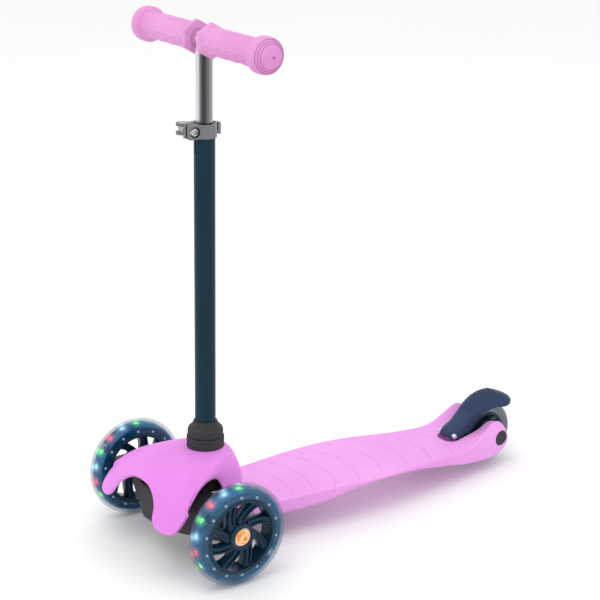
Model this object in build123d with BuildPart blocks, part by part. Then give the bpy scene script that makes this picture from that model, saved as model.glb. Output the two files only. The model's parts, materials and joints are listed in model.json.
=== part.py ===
"""Three-wheeled lean-to-steer kick scooter for small children, at real size.

Frame: +Z up, the scooter faces -Y, X along the wheel axles (+X is the rider's left).
Origin: on the floor, midway along the overall length.
"""

import math
import os

from build123d import *

# ---------------------------------------------------------------- driving dimensions (mm)
overall_length = 574.0
wheelbase = 454.0
front_overhang = 72.0  # front axle to the nose of the front cover
front_track = 226.0  # between the mid-planes of the front wheels

front_wheel_diameter = 120.0
front_wheel_width = 24.0
front_rim_radius = 44.0
rear_wheel_diameter = 80.0
rear_wheel_width = 24.0
rear_rim_radius = 25.5
rim_wall = 4.5
hub_radius = 15.5

axle_radius = 4.0  # M8 shoulder bolts
bearing_radius = 11.0  # 608 bearings
bearing_width = 7.0
washer_thickness = 1.2
washer_radius = 9.75

handlebar_height = 592.0
handlebar_length = 268.0
column_offset = 28.6  # column behind the front axle, at floor level
column_rake = 0.6  # degrees, leaning back
lower_tube_radius = 12.0
lower_tube_bore = 9.8
lower_tube_bottom = 80.0
upper_tube_radius = 9.6
upper_tube_wall = 1.4
upper_tube_bottom = 250.0
clamp_bottom = 484.5
clamp_height = 16.0
clamp_wall = 1.8
collar_radius = 21.8
collar_bottom = 104.0
collar_split = 133.0
collar_top = 151.5

grip_gap = 20.0  # between the inner flanges of the two grips
grip_radius = 14.8
grip_flange_radius = 19.0
grip_flange_width = 6.0
grip_knob_radius = 20.0
grip_knob_width = 19.0

deck_front_height = 51.5
deck_drop = 10.3  # from the front edge down to the waist ahead of the rear wheel
deck_front_half_width = 54.0
deck_half_width = 64.3
deck_rear_half_width = 38.5  # across the ears, at the rear axle
deck_start = 62.0  # deck's front edge, behind the front axle
deck_wall = 3.5
deck_skirt_front = 17.5
deck_skirt_middle = 6.0
slot_half_width = 17.0
slot_length = 63.0  # from the rear axle forwards
ear_height = 68.5
ear_bottom = 18.5

kingpin_rake = 40.0  # degrees from vertical, top end forward
kingpin_radius = 4.0
truck_boss_radius = 15.0
truck_boss_half_height = 21.0
bushing_thickness = 1.4
lug_thickness = 9.0
backbone_offset = 20.0
backbone_depth = 16.0
backbone_half_width = 15.0
spring_rod_radius = 1.5
spring_rod_offset = 34.0
spring_rod_height = 76.0

cover_wall = 3.0
cover_top = 126.0
cover_lobe_bottom = 58.5
cover_half_width = 86.0
cover_rear = 65.0  # back of the cover, behind the front axle

brake_pin_offset = 57.0  # brake pin ahead of the rear axle
brake_pin_height = 47.0
brake_pin_radius = 2.0
brake_pin_half_length = 15.5
fender_half_width = 15.0
fender_height = 92.0

fit_gap = 0.3  # between faces that move past each other
running_gap = 0.05  # radial, round shafts that turn
seat_gap = 0.1  # radial, round parts that are fixed

# ---------------------------------------------------------------- places worked out from them
front_axle_y = -overall_length / 2 + front_overhang
rear_axle_y = front_axle_y + wheelbase
front_radius = front_wheel_diameter / 2
rear_radius = rear_wheel_diameter / 2
arm_end = (front_track - front_wheel_width) / 2 - fit_gap - washer_thickness
column_tan = math.tan(math.radians(column_rake))
column_up = (0, math.sin(math.radians(column_rake)), math.cos(math.radians(column_rake)))
clamp_top = clamp_bottom + clamp_height
knob_end = handlebar_length / 2
deck_waist_height = deck_front_height - deck_drop

os.makedirs("parts", exist_ok=True)


def column_point(height):
    """Point on the steering column's centre line at a height."""
    return (0, front_axle_y + column_offset + column_tan * height, height)


def column_plane(height):
    """Plane square to the column at a height, with local x along X and local y rearwards."""
    return Plane(origin=column_point(height), x_dir=(1, 0, 0), z_dir=column_up)


def axle_section(x, y, z):
    """Plane through an axle: local x runs along +X and local y is the radius."""
    return Plane(origin=(x, y, z), x_dir=(1, 0, 0), z_dir=(0, -1, 0))


def column_section(height):
    """Plane through the column: local x runs up the column and local y is the radius."""
    return Plane(origin=column_point(height), x_dir=column_up, z_dir=(-1, 0, 0))


kingpin_centre = (0, front_axle_y, front_radius)
kingpin_up = (
    0,
    -math.sin(math.radians(kingpin_rake)),
    math.cos(math.radians(kingpin_rake)),
)


def kingpin_plane(along):
    """Plane square to the kingpin, a distance up it: local x along X, local y rearwards."""
    origin = tuple(c + along * u for c, u in zip(kingpin_centre, kingpin_up))
    return Plane(origin=origin, x_dir=(1, 0, 0), z_dir=kingpin_up)


def kingpin_section():
    """Plane through the kingpin: local x runs up it and local y is the radius."""
    return Plane(origin=kingpin_centre, x_dir=kingpin_up, z_dir=(-1, 0, 0))


def side_plane(x=0.0, y=0.0):
    """Plane seen from the +X side: local x is +Y and local y is +Z."""
    return Plane(origin=(x, y, 0), x_dir=(0, 1, 0), z_dir=(1, 0, 0))


def save(piece, name):
    """Label a finished sub-part and write it to its own STEP file."""
    piece.part.label = name
    export_step(piece.part, f"parts/{name}.step")


def turn(plane, *profile):
    """Turn a closed profile of (along, radius) points about the plane's local x axis."""
    with BuildPart() as turned:
        with BuildSketch(plane):
            with BuildLine():
                Polyline(*profile, close=True)
            make_face()
        revolve(axis=Axis(plane.origin, plane.x_dir))
    return turned.part


def ring(plane, start, end, inner, outer):
    """Plain ring, washer, bush or spacer between two stations on an axis."""
    return turn(plane, (start, inner), (end, inner), (end, outer), (start, outer))


def save_group(name, *solids):
    """Write one node made of separate solids that belong together."""
    with BuildPart() as group:
        for solid in solids:
            add(solid)
    save(group, name)


# ---------------------------------------------------------------- deck
deck_start_y = front_axle_y + deck_start
slot_front_y = rear_axle_y - slot_length
ear_front_y = rear_axle_y - 80.0
ear_rear_y = rear_axle_y + 13.0
waist_y = rear_axle_y - 72.0
deck_span = waist_y - deck_start_y
shoulder_y = deck_start_y + 0.25 * deck_span
widest_y = deck_start_y + 0.525 * deck_span
narrow_y = deck_start_y + 0.79 * deck_span
ear_inner = slot_half_width
ear_outer = deck_rear_half_width
cap_radius = 10.0
cap_depth = 4.0
tongue_half_width = 34.0
tongue_length = 58.0
tongue_depth = 9.0
deck_screw_radius = 2.5
deck_screw_xs = 24.0
deck_screw_ys = (16.0, 46.0)  # behind the deck's front edge
lug_half_width = 12.3  # inside faces of the brake lugs


def deck_top_line(lift=0.0):
    """Top line of the deck from its front edge to the foot of the ears."""
    return [
        (deck_start_y, deck_front_height - lift),
        (shoulder_y, deck_front_height - 0.2 - lift),
        (widest_y, deck_front_height - 1.7 - lift),
        (narrow_y, deck_waist_height + 4.2 - lift),
        (waist_y, deck_waist_height - lift),
        (rear_axle_y - 30, deck_waist_height + 1.5 - lift),
    ]


def deck_outline(inset=0.0):
    """Half plan outline of the deck, from the front edge to the rear of the ears."""
    return [
        (deck_front_half_width - inset, deck_start_y),
        (deck_half_width - 3.5 - inset, shoulder_y + 15),
        (deck_half_width - inset, widest_y),
        (deck_half_width - 7 - inset, narrow_y),
        (deck_rear_half_width + 10.5 - inset, waist_y - 5),
        (deck_rear_half_width + 3 - inset, rear_axle_y - 20),
    ]


def ear_top(crest, crest_lead):
    """Top line of a rear ear whose crest has the given height and lead over the axle."""
    return [
        (ear_front_y, deck_waist_height - 1.5),
        (rear_axle_y - 43, deck_waist_height + (crest - deck_waist_height) * 0.22),
        (rear_axle_y - crest_lead, crest),
        (ear_rear_y - 3, rear_radius + 7),
        (ear_rear_y, rear_radius - 5),
    ]


ear_underside = [
    (ear_rear_y, rear_radius - 5),
    (rear_axle_y + 4, ear_bottom + 6),
    (rear_axle_y - 16, ear_bottom),
    (rear_axle_y - 60, ear_bottom + 3),
    (ear_front_y, deck_waist_height - deck_wall - 8),
]

with BuildPart() as deck_ear:
    for x, crest, lead in ((ear_inner, ear_height - 12, 4), (ear_outer, ear_height, 17)):
        with BuildSketch(side_plane(x)):
            with BuildLine():
                Spline(*ear_top(crest, lead))
                Spline(*ear_underside)
                Line(ear_underside[-1], (ear_front_y, deck_waist_height - 1.5))
            make_face()
    loft(ruled=True)

with BuildPart() as deck_slab:
    # side profile: thick at the front skirt, thin at the middle, deep again at the ears
    with BuildSketch(side_plane(-deck_half_width - 5)):
        with BuildLine():
            top = Spline(*deck_top_line())
            bottom = Spline(
                (rear_axle_y - 30, deck_waist_height - 14),
                (waist_y, deck_waist_height - 13),
                (narrow_y, deck_waist_height + 4.2 - deck_skirt_middle),
                (widest_y, deck_front_height - 1.7 - deck_skirt_middle),
                (shoulder_y - 20, deck_front_height - deck_skirt_front),
                (deck_start_y, deck_front_height - deck_skirt_front - 1),
            )
            Line(top @ 1, bottom @ 0)
            Line(bottom @ 1, top @ 0)
        make_face()
    extrude(amount=2 * deck_half_width + 10)
    # plan outline
    with BuildSketch(Plane.XY) as plan:
        with BuildLine():
            side = Spline(*deck_outline())
            Line(side @ 1, (0, rear_axle_y - 20))
            Line((0, rear_axle_y - 20), (0, deck_start_y))
            Line((0, deck_start_y), side @ 0)
        make_face()
        mirror(about=Plane.YZ)
    extrude(amount=120, mode=Mode.INTERSECT)

with BuildPart() as deck_hollow:
    # open underside, left inside the wall and between the stiffening ribs
    with BuildSketch(side_plane(-deck_half_width)):
        with BuildLine():
            ceiling = Spline(*deck_top_line(deck_wall))
            Line(ceiling @ 1, (rear_axle_y - 30, 0))
            Line((rear_axle_y - 30, 0), (deck_start_y, 0))
            Line((deck_start_y, 0), ceiling @ 0)
        make_face()
    extrude(amount=2 * deck_half_width)
    with BuildSketch(Plane.XY):
        with BuildLine():
            side = Spline(*deck_outline(deck_wall))
            Line(side @ 1, (0, rear_axle_y - 20))
            Line((0, rear_axle_y - 20), (0, deck_start_y))
            Line((0, deck_start_y), side @ 0)
        make_face()
        mirror(about=Plane.YZ)
        with Locations((0, slot_front_y + 40)):
            Rectangle(300, 80 + 2 * deck_wall, mode=Mode.SUBTRACT)
    extrude(amount=120, mode=Mode.INTERSECT)
    # stiffening ribs stay
    with BuildSketch(Plane.XY):
        first_rib_y = deck_start_y + tongue_length + 6
        rib_span = slot_front_y - first_rib_y
        for rib_x in (-18, 18):
            with Locations((rib_x, first_rib_y + rib_span / 2)):
                Rectangle(deck_wall, rib_span)
        for share in (0, 0.25, 0.5, 0.75):
            with Locations((0, first_rib_y + share * rib_span)):
                Rectangle(2 * deck_half_width + 10, deck_wall)
    extrude(amount=120, mode=Mode.SUBTRACT)

with BuildPart() as deck:
    add(deck_slab.part)
    add(deck_hollow.part, mode=Mode.SUBTRACT)
    add(deck_ear.part)
    mirror(deck_ear.part, about=Plane.YZ)
    # wheel slot
    with BuildSketch(Plane.XY):
        with Locations((0, slot_front_y + 60)):
            RectangleRounded(2 * slot_half_width, 120, 9)
    extrude(amount=120, mode=Mode.SUBTRACT)
    # lugs that hold the brake pin
    with BuildSketch(side_plane(lug_half_width)):
        with Locations((rear_axle_y - brake_pin_offset, brake_pin_height)):
            Circle(brake_pin_radius + 2.6)
        with Locations((rear_axle_y - brake_pin_offset - 3, brake_pin_height - 8)):
            Rectangle(15, 14)
    extrude(amount=slot_half_width - lug_half_width + 1.5)
    split(bisect_by=Plane.YZ, keep=Keep.TOP)
    mirror(about=Plane.YZ)
    # bores: rear axle, cap recesses, brake pin, deck screws
    with BuildSketch(side_plane(-100)):
        with Locations((rear_axle_y, rear_radius)):
            Circle(axle_radius + seat_gap)
        with Locations((rear_axle_y - brake_pin_offset, brake_pin_height)):
            Circle(brake_pin_radius + seat_gap)
    extrude(amount=200, mode=Mode.SUBTRACT)
    for sign in (-1, 1):
        with BuildSketch(side_plane(sign * (ear_outer + 5))):
            with Locations((rear_axle_y, rear_radius)):
                Circle(cap_radius + seat_gap)
        extrude(amount=-sign * (5 + cap_depth + 10), mode=Mode.SUBTRACT)
    with Locations(
        *[
            (sign * deck_screw_xs, deck_start_y + along, deck_front_height - 1)
            for sign in (-1, 1)
            for along in deck_screw_ys
        ]
    ):
        Cylinder(deck_screw_radius + seat_gap, 12, align=(Align.CENTER, Align.CENTER, Align.MAX),
                 mode=Mode.SUBTRACT)
save(deck, "deck")

# ---------------------------------------------------------------- front frame
wing_top = 84.0
wing_bottom = 63.0
wing_half_width = 40.0
wing_y = front_axle_y + 43.0
wing_depth = 14.0
socket_radius = 18.5
column_bolt_height = 92.0
column_bolt_radius = 3.0
lug_start = truck_boss_half_height + fit_gap + bushing_thickness
lug_end = lug_start + lug_thickness
cover_screw_xs = 28.0
cover_screw_radius = 2.0
tongue_top = deck_front_height - deck_wall - 0.4
tongue_bottom = tongue_top - tongue_depth

with BuildPart() as front_frame:
    # tongue under the deck and the pedestal under the column
    with BuildSketch(Plane.XY.offset(tongue_bottom)):
        with Locations((0, deck_start_y + tongue_length / 2 - 13)):
            RectangleRounded(2 * tongue_half_width, tongue_length + 26, 5)
    extrude(amount=tongue_depth)
    with BuildSketch(side_plane(-backbone_half_width)):
        with BuildLine():
            Polyline(
                (front_axle_y + 30, tongue_bottom),
                (deck_start_y - 0.5, tongue_bottom),
                (deck_start_y - 0.5, 80),
                (front_axle_y + 50, 98),
                (front_axle_y + 12, 98),
                (front_axle_y + 12, tongue_bottom + 25),
                close=True,
            )
        make_face()
    extrude(amount=2 * backbone_half_width)
    # wings that anchor the spring rods and carry the cover
    with BuildSketch(Plane.XY.offset(wing_bottom)):
        with Locations((0, wing_y)):
            RectangleRounded(2 * wing_half_width, wing_depth, 4)
    extrude(amount=wing_top - wing_bottom)
    add(ring(column_section(0), lower_tube_bottom - 8, collar_bottom - 0.1, 0, socket_radius))
    # clear the space in which the truck turns
    with BuildSketch(kingpin_plane(-lug_start)):
        with Locations((0, backbone_offset - 40)):
            Rectangle(2 * wing_half_width + 10, 80)
    extrude(amount=2 * lug_start, mode=Mode.SUBTRACT)
    # backbone and the two kingpin lugs
    with BuildSketch(kingpin_plane(-lug_end)):
        with Locations((0, backbone_offset + backbone_depth / 2)):
            Rectangle(2 * backbone_half_width, backbone_depth)
    extrude(amount=2 * lug_end)
    for start in (-lug_end, lug_start):
        with BuildSketch(kingpin_plane(start)):
            Circle(truck_boss_radius)
            with Locations((0, (backbone_offset + backbone_depth) / 2)):
                Rectangle(2 * backbone_half_width, backbone_offset + backbone_depth)
        extrude(amount=lug_thickness)
    # bores
    add(
        ring(kingpin_section(), -lug_end - 1, lug_end + 20, 0, kingpin_radius + seat_gap),
        mode=Mode.SUBTRACT,
    )
    add(
        ring(kingpin_section(), lug_end, lug_end + 14, 0, washer_radius + 1),
        mode=Mode.SUBTRACT,
    )
    add(
        ring(kingpin_section(), -lug_end - 14, -lug_end, 0, washer_radius + 1),
        mode=Mode.SUBTRACT,
    )
    add(
        ring(column_section(0), lower_tube_bottom, collar_top, 0, lower_tube_radius + seat_gap),
        mode=Mode.SUBTRACT,
    )
    add(
        ring(column_section(0), collar_bottom - 0.1, collar_top, 0, collar_radius + fit_gap),
        mode=Mode.SUBTRACT,
    )
    add(
        ring(axle_section(*column_point(column_bolt_height)), -60, 60, 0, column_bolt_radius + seat_gap),
        mode=Mode.SUBTRACT,
    )
    for sign in (-1, 1):
        with BuildSketch(Plane.XZ.offset(-wing_y - wing_depth)):
            with Locations((sign * spring_rod_offset, spring_rod_height)):
                Circle(spring_rod_radius + seat_gap)
        extrude(amount=2 * wing_depth, mode=Mode.SUBTRACT)
        with Locations((sign * cover_screw_xs, wing_y, wing_bottom)):
            Cylinder(cover_screw_radius + seat_gap, 2 * (wing_top - wing_bottom), mode=Mode.SUBTRACT)
        for along in deck_screw_ys:
            with Locations((sign * deck_screw_xs, deck_start_y + along, tongue_bottom)):
                Cylinder(deck_screw_radius + seat_gap, 4 * tongue_depth, mode=Mode.SUBTRACT)
save(front_frame, "front_frame")


def screw(x, y, head_z, tip_z, shank, head, head_height):
    """Screw driven upwards, with a hex socket in its pan head."""
    with BuildPart() as body:
        with Locations((x, y, head_z)):
            Cylinder(shank, tip_z - head_z, align=(Align.CENTER, Align.CENTER, Align.MIN))
        with Locations((x, y, head_z)):
            Cylinder(head, head_height, align=(Align.CENTER, Align.CENTER, Align.MAX))
        with BuildSketch(Plane.XY.offset(head_z - head_height)):
            with Locations((x, y)):
                RegularPolygon(head * 0.45, 6)
        extrude(amount=head_height * 0.6, mode=Mode.SUBTRACT)
    return body.part


save_group(
    "deck_screws",
    *[
        screw(sign * deck_screw_xs, deck_start_y + along, tongue_bottom - 0.1,
              deck_front_height - 1.2, deck_screw_radius, 4.6, 2.6)
        for sign in (-1, 1)
        for along in deck_screw_ys
    ],
)
save_group(
    "cover_screws",
    *[
        screw(sign * cover_screw_xs, wing_y, wing_bottom - 0.1, wing_top + 12,
              cover_screw_radius, 4.0, 2.2)
        for sign in (-1, 1)
    ],
)

rod_front = front_axle_y - 8.0
with BuildPart() as spring_rods:
    for sign in (-1, 1):
        with BuildSketch(Plane.XZ.offset(-rod_front)):
            with Locations((sign * spring_rod_offset, spring_rod_height)):
                Circle(spring_rod_radius)
        extrude(amount=-(wing_y + wing_depth / 2 + 1 - rod_front))
save(spring_rods, "steering_spring_rods")

# ---------------------------------------------------------------- front cover
boss_radius = 5.0
arch_side = [(-52, 40), (-47, 86), (-24, 100), (4, 104), (25, 97), (38, 82), (48, 40)]
arch_front = [(0, 99), (12, 97), (24, 90), (38, 78), (47, 66), (52, 40)]


def cover_side(wall):
    """Side outline of the cover as points behind the front axle, for a wall inset."""
    return [
        (cover_rear - wall, 62),
        (cover_rear - 2 - wall, 96),
        (52, cover_top - 9 - wall),
        (28, cover_top - wall),
        (-10, cover_top - 5 - wall),
        (-42, cover_top - 17 - wall),
        (-64 + wall, cover_top - 32 - wall / 2),
        (-front_overhang + wall, 76),
        (-66 + wall, cover_lobe_bottom),
    ]


def cover_front(wall):
    """Half front outline of the cover, for a wall inset."""
    return [
        (0, cover_top - wall),
        (26, cover_top - 2 - wall),
        (48, cover_top - 11 - wall),
        (66, cover_top - 24 - wall),
        (79 - wall / 2, cover_top - 40 - wall / 2),
        (cover_half_width - wall, 74),
        (cover_half_width - 14 - wall / 2, cover_lobe_bottom),
    ]


def cover_plan(wall):
    """Half plan outline of the cover, as half widths and distances behind the front axle."""
    return [
        (30, -70 + wall),
        (66 - wall, -front_overhang + wall),
        (cover_half_width - wall, -56),
        (cover_half_width - 6 - wall, -34),
        (58 - wall, -6),
        (47 - wall, 22),
        (45 - wall, 46),
        (34 - wall, cover_rear - 2 - wall),
        (0, cover_rear - wall),
    ]


def cover_body(wall, floor):
    """Solid bounded by the cover's three outlines, down to a floor height."""
    side_points, front_points = cover_side(wall), cover_front(wall)
    with BuildPart() as body:
        with BuildSketch(side_plane(-cover_half_width, front_axle_y)):
            with BuildLine():
                Line((side_points[0][0], floor), side_points[0])
                Spline(*side_points)
                Line(side_points[-1], (side_points[-1][0], floor))
                Line((side_points[-1][0], floor), (side_points[0][0], floor))
            make_face()
        extrude(amount=2 * cover_half_width)
        with BuildSketch(Plane.XZ.offset(-front_axle_y - 100)):
            with BuildLine():
                Spline(*front_points)
                Line(front_points[-1], (front_points[-1][0], floor))
                Line((front_points[-1][0], floor), (0, floor))
                Line((0, floor), front_points[0])
            make_face()
            mirror(about=Plane.YZ)
        extrude(amount=200, mode=Mode.INTERSECT)
        with BuildSketch(Plane.XY):
            with BuildLine():
                side = Spline(*[(x, front_axle_y + y) for x, y in cover_plan(wall)])
                Line(side @ 1, (0, (side @ 0).Y))
                Line((0, (side @ 0).Y), side @ 0)
            make_face()
            mirror(about=Plane.YZ)
        extrude(amount=200, mode=Mode.INTERSECT)
    return body.part


with BuildPart() as front_cover:
    add(cover_body(0, deck_front_height + 0.3))
    add(cover_body(cover_wall, 40), mode=Mode.SUBTRACT)
    # the lobes end above the floor of the rear skirt
    with BuildSketch(Plane.XY.offset(40)):
        with Locations((0, front_axle_y - 50)):
            Rectangle(2 * cover_half_width + 4, 100)
    extrude(amount=cover_lobe_bottom - 40, mode=Mode.SUBTRACT)
    # openings for the truck's arms, and between the two front lobes
    with BuildSketch(side_plane(36, front_axle_y)):
        with BuildLine():
            side_arch = Spline(*arch_side)
            Line(side_arch @ 1, side_arch @ 0)
        make_face()
    side_cut = extrude(amount=80, mode=Mode.SUBTRACT)
    mirror(side_cut, about=Plane.YZ, mode=Mode.SUBTRACT)
    with BuildSketch(Plane.XZ.offset(-front_axle_y + 20)):
        with BuildLine():
            front_arch = Spline(*arch_front)
            Line(front_arch @ 1, (0, 40))
            Line((0, 40), front_arch @ 0)
        make_face()
        mirror(about=Plane.YZ)
    extrude(amount=80, mode=Mode.SUBTRACT)
    # bosses for the cover screws
    for sign in (-1, 1):
        with Locations((sign * cover_screw_xs, wing_y, wing_top + 0.1)):
            Cylinder(boss_radius, 24, align=(Align.CENTER, Align.CENTER, Align.MIN))
            Cylinder(cover_screw_radius + seat_gap, 14, align=(Align.CENTER, Align.CENTER, Align.MIN),
                     mode=Mode.SUBTRACT)
    add(
        ring(column_section(0), 60, cover_top + 20, 0, collar_radius + fit_gap),
        mode=Mode.SUBTRACT,
    )
save(front_cover, "front_cover")

# ---------------------------------------------------------------- truck
truck_rear = 14.0
truck_front = 44.0
arm_root = 20.0
arm_size = 27.0
nut_flats = 13.0
nut_width = 6.5
nut_inset = 21.0

with BuildPart() as truck_beam:
    with BuildSketch(side_plane(-arm_root, front_axle_y)):
        with Locations(((truck_rear - truck_front) / 2, front_radius + 1)):
            RectangleRounded(truck_front + truck_rear, 46, 6)
    extrude(amount=2 * arm_root)
    with BuildSketch(side_plane(arm_root, front_axle_y)):
        with Locations(((truck_rear - truck_front) / 2, front_radius + 1)):
            RectangleRounded(truck_front + truck_rear, 46, 6)
    with BuildSketch(side_plane(arm_end, front_axle_y)):
        with Locations((0, front_radius)):
            RectangleRounded(arm_size, arm_size, 6)
    arm = loft(ruled=True)
    mirror(arm, about=Plane.YZ)
    # room for the backbone behind, and for the lugs above and below the boss
    with BuildSketch(kingpin_plane(-80)):
        with Locations((0, truck_rear + 40)):
            Rectangle(68, 80)
    extrude(amount=160, mode=Mode.SUBTRACT)
    for sign in (-1, 1):
        with BuildSketch(kingpin_plane(sign * truck_boss_half_height)):
            with Locations((0, 30 - truck_boss_radius - 3)):
                RectangleRounded(72, 60, 8)
        extrude(amount=sign * 40, mode=Mode.SUBTRACT)
    # grooves for the spring rods
    for sign in (-1, 1):
        with BuildSketch(Plane.XY.offset(spring_rod_height - 7)):
            with Locations((sign * spring_rod_offset, front_axle_y + 8)):
                Rectangle(11, 46)
        extrude(amount=30, mode=Mode.SUBTRACT)
    # kingpin and axle bores, and pockets for the axle nuts
    add(
        ring(kingpin_section(), -60, 60, 0, kingpin_radius + running_gap),
        mode=Mode.SUBTRACT,
    )
    for sign in (-1, 1):
        section = axle_section(0, front_axle_y, front_radius)
        add(
            ring(section, sign * (arm_end - 34), sign * (arm_end + 5), 0, axle_radius + seat_gap),
            mode=Mode.SUBTRACT,
        )
        with BuildSketch(Plane.XY.offset(front_radius + nut_flats * 0.6)):
            with Locations((sign * (arm_end - nut_inset - nut_width / 2), front_axle_y)):
                Rectangle(nut_width + 0.3, nut_flats + 0.3)
        extrude(amount=-60, mode=Mode.SUBTRACT)
save(truck_beam, "truck_beam")

# kingpin hardware
head_height = 5.0
stack = lug_end + washer_thickness
save_group(
    "kingpin_bolt",
    turn(
        kingpin_section(),
        (-stack - head_height, 0), (-stack - head_height, 6.0), (-stack - head_height + 1, 7.0),
        (-stack, 7.0), (-stack, kingpin_radius), (stack + nut_width + 1, kingpin_radius),
        (stack + nut_width + 1.8, kingpin_radius - 0.8), (stack + nut_width + 1.8, 0),
    ),
)
with BuildPart() as kingpin_nut:
    with BuildSketch(kingpin_plane(stack)):
        RegularPolygon(nut_flats / 2, 6, major_radius=False)
        Circle(kingpin_radius, mode=Mode.SUBTRACT)
    extrude(amount=nut_width)
save(kingpin_nut, "kingpin_nut")
save_group(
    "kingpin_washers",
    ring(kingpin_section(), -stack, -lug_end, kingpin_radius + seat_gap, washer_radius),
    ring(kingpin_section(), lug_end, stack, kingpin_radius + seat_gap, washer_radius),
)
save_group(
    "kingpin_bushings",
    *[
        ring(kingpin_section(), sign * (truck_boss_half_height + fit_gap), sign * lug_start,
             kingpin_radius + running_gap, truck_boss_radius - 2)
        for sign in (-1, 1)
    ],
)

# ---------------------------------------------------------------- wheels
bearing_recess = 2.5
front_half = front_wheel_width / 2
rear_half = rear_wheel_width / 2
light_half_width = 6.0
light_depth = 7.0
led_half_width = 2.4
led_depth = 3.0
led_count = 18
shaft_head_radius = 6.3
front_spokes = 8
front_swirl = 34.0  # degrees that a spoke is swept from hub to rim


def rim(name, x, y, z, half_width, outer, spokes, swirl, thickness, width):
    """Wheel rim: hub with two bearing seats, swept spokes and an outer ring."""
    section = axle_section(x, y, z)
    rib = half_width - bearing_recess - bearing_width
    with BuildPart() as piece:
        add(ring(section, -half_width, half_width, bearing_radius, hub_radius))
        add(ring(section, -rib, rib, bearing_radius - 4, bearing_radius + 1))
        add(ring(section, -half_width + 2, half_width - 2, outer - rim_wall, outer))
        with BuildSketch(Plane(origin=(x, y, z), x_dir=(0, 1, 0), z_dir=(1, 0, 0))):
            for index in range(spokes):
                start = math.radians(360 / spokes * index)
                points = []
                for share in (0.0, 0.5, 1.0):
                    radius = hub_radius - 1.5 + share * (outer - rim_wall + 3 - hub_radius)
                    angle = start + math.radians(swirl) * share**0.8
                    points.append((radius * math.cos(angle), radius * math.sin(angle)))
                with BuildLine() as spoke_line:
                    ThreePointArc(*points)
                trace(spoke_line.line, line_width=width)
        extrude(amount=thickness, both=True)
        add(ring(section, -half_width - 1, -half_width + bearing_recess + bearing_width,
                 0, bearing_radius), mode=Mode.SUBTRACT)
        add(ring(section, half_width - bearing_recess - bearing_width, half_width + 1,
                 0, bearing_radius), mode=Mode.SUBTRACT)
    save(piece, name)


def bearings(name, x, y, z, half_width):
    """Pair of sealed ball bearings, pressed into the hub and running on the bolt."""
    section = axle_section(x, y, z)
    inner, outer = half_width - bearing_recess - bearing_width, half_width - bearing_recess
    save_group(
        name,
        *[
            turn(
                section,
                (sign * inner, axle_radius + running_gap), (sign * outer, axle_radius + running_gap),
                (sign * outer, 6.2), (sign * (outer - 0.4), 6.4), (sign * (outer - 0.4), 9.2),
                (sign * outer, 9.4), (sign * outer, bearing_radius), (sign * inner, bearing_radius),
            )
            for sign in (-1, 1)
        ],
    )


for side, sign in (("left", 1), ("right", -1)):
    wheel = (sign * front_track / 2, front_axle_y, front_radius)
    section = axle_section(*wheel)
    rim(f"front_rim_{side}", *wheel, front_half, front_rim_radius, front_spokes,
        -sign * front_swirl, 6.5, 7.5)
    bearings(f"front_bearings_{side}", *wheel, front_half)
    save_group(
        f"magnet_sleeve_{side}",
        ring(section, -(front_half - bearing_recess - bearing_width) + fit_gap,
             front_half - bearing_recess - bearing_width - fit_gap,
             axle_radius + seat_gap, bearing_radius - 4.6),
    )
    light_radius = front_rim_radius + light_depth
    save_group(
        f"light_ring_{side}",
        ring(section, -light_half_width, light_half_width, front_rim_radius + seat_gap, light_radius),
    )
    with BuildPart() as leds:
        with BuildSketch(Plane(origin=wheel, x_dir=(0, 1, 0), z_dir=(1, 0, 0))):
            with PolarLocations(light_radius + led_depth / 2, led_count):
                Rectangle(led_depth - 0.2, 2 * led_half_width)
        extrude(amount=led_half_width, both=True)
    save(leds, f"leds_{side}")
    with BuildPart() as tyre:
        with BuildSketch(section):
            with BuildLine():
                lip = front_rim_radius + seat_gap
                cavity = light_radius + seat_gap
                crown = light_radius + led_depth + seat_gap
                inside = Polyline(
                    (-10, lip), (-light_half_width - seat_gap, lip), (-light_half_width - seat_gap, cavity),
                    (-led_half_width - 0.3, cavity), (-led_half_width - 0.3, crown),
                    (led_half_width + 0.3, crown), (led_half_width + 0.3, cavity),
                    (light_half_width + seat_gap, cavity), (light_half_width + seat_gap, lip), (10, lip),
                    (front_half, lip + 3), (front_half, front_radius - 7),
                )
                ThreePointArc(
                    (front_half, front_radius - 7), (0, front_radius), (-front_half, front_radius - 7)
                )
                Polyline((-front_half, front_radius - 7), (-front_half, lip + 3), (-10, lip))
            make_face()
        revolve(axis=Axis(section.origin, section.x_dir))
    save(tyre, f"front_tyre_{side}")

save_group(
    "front_axle_bolts",
    *[
        turn(
            axle_section(0, front_axle_y, front_radius),
            (sign * (arm_end - 32), 0), (sign * (arm_end - 32), axle_radius),
            (sign * head, axle_radius), (sign * head, shaft_head_radius),
            (sign * (head + 3.6), shaft_head_radius), (sign * (head + 4.4), shaft_head_radius - 0.9),
            (sign * (head + 4.4), 3.0), (sign * (head + 1.5), 3.0), (sign * (head + 1.5), 0),
        )
        for sign, head in [
            (s, front_track / 2 + front_half - bearing_recess + fit_gap + washer_thickness) for s in (-1, 1)
        ]
    ],
)
washer_start = front_track / 2 + front_half - bearing_recess + fit_gap
save_group(
    "front_axle_washers",
    *[
        ring(axle_section(0, front_axle_y, front_radius), sign * start, sign * end,
             axle_radius + seat_gap, radius)
        for sign in (-1, 1)
        for start, end, radius in (
            (washer_start, washer_start + washer_thickness, washer_radius),
            (arm_end, arm_end + bearing_recess, 7.5),
        )
    ],
)
with BuildPart() as front_axle_nuts:
    for sign in (-1, 1):
        with BuildSketch(side_plane(sign * (arm_end - nut_inset), front_axle_y)):
            with Locations((0, front_radius)):
                RegularPolygon(nut_flats / 2, 6, major_radius=False, rotation=30)
                Circle(axle_radius, mode=Mode.SUBTRACT)
        extrude(amount=-sign * nut_width)
save(front_axle_nuts, "front_axle_nuts")

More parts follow.
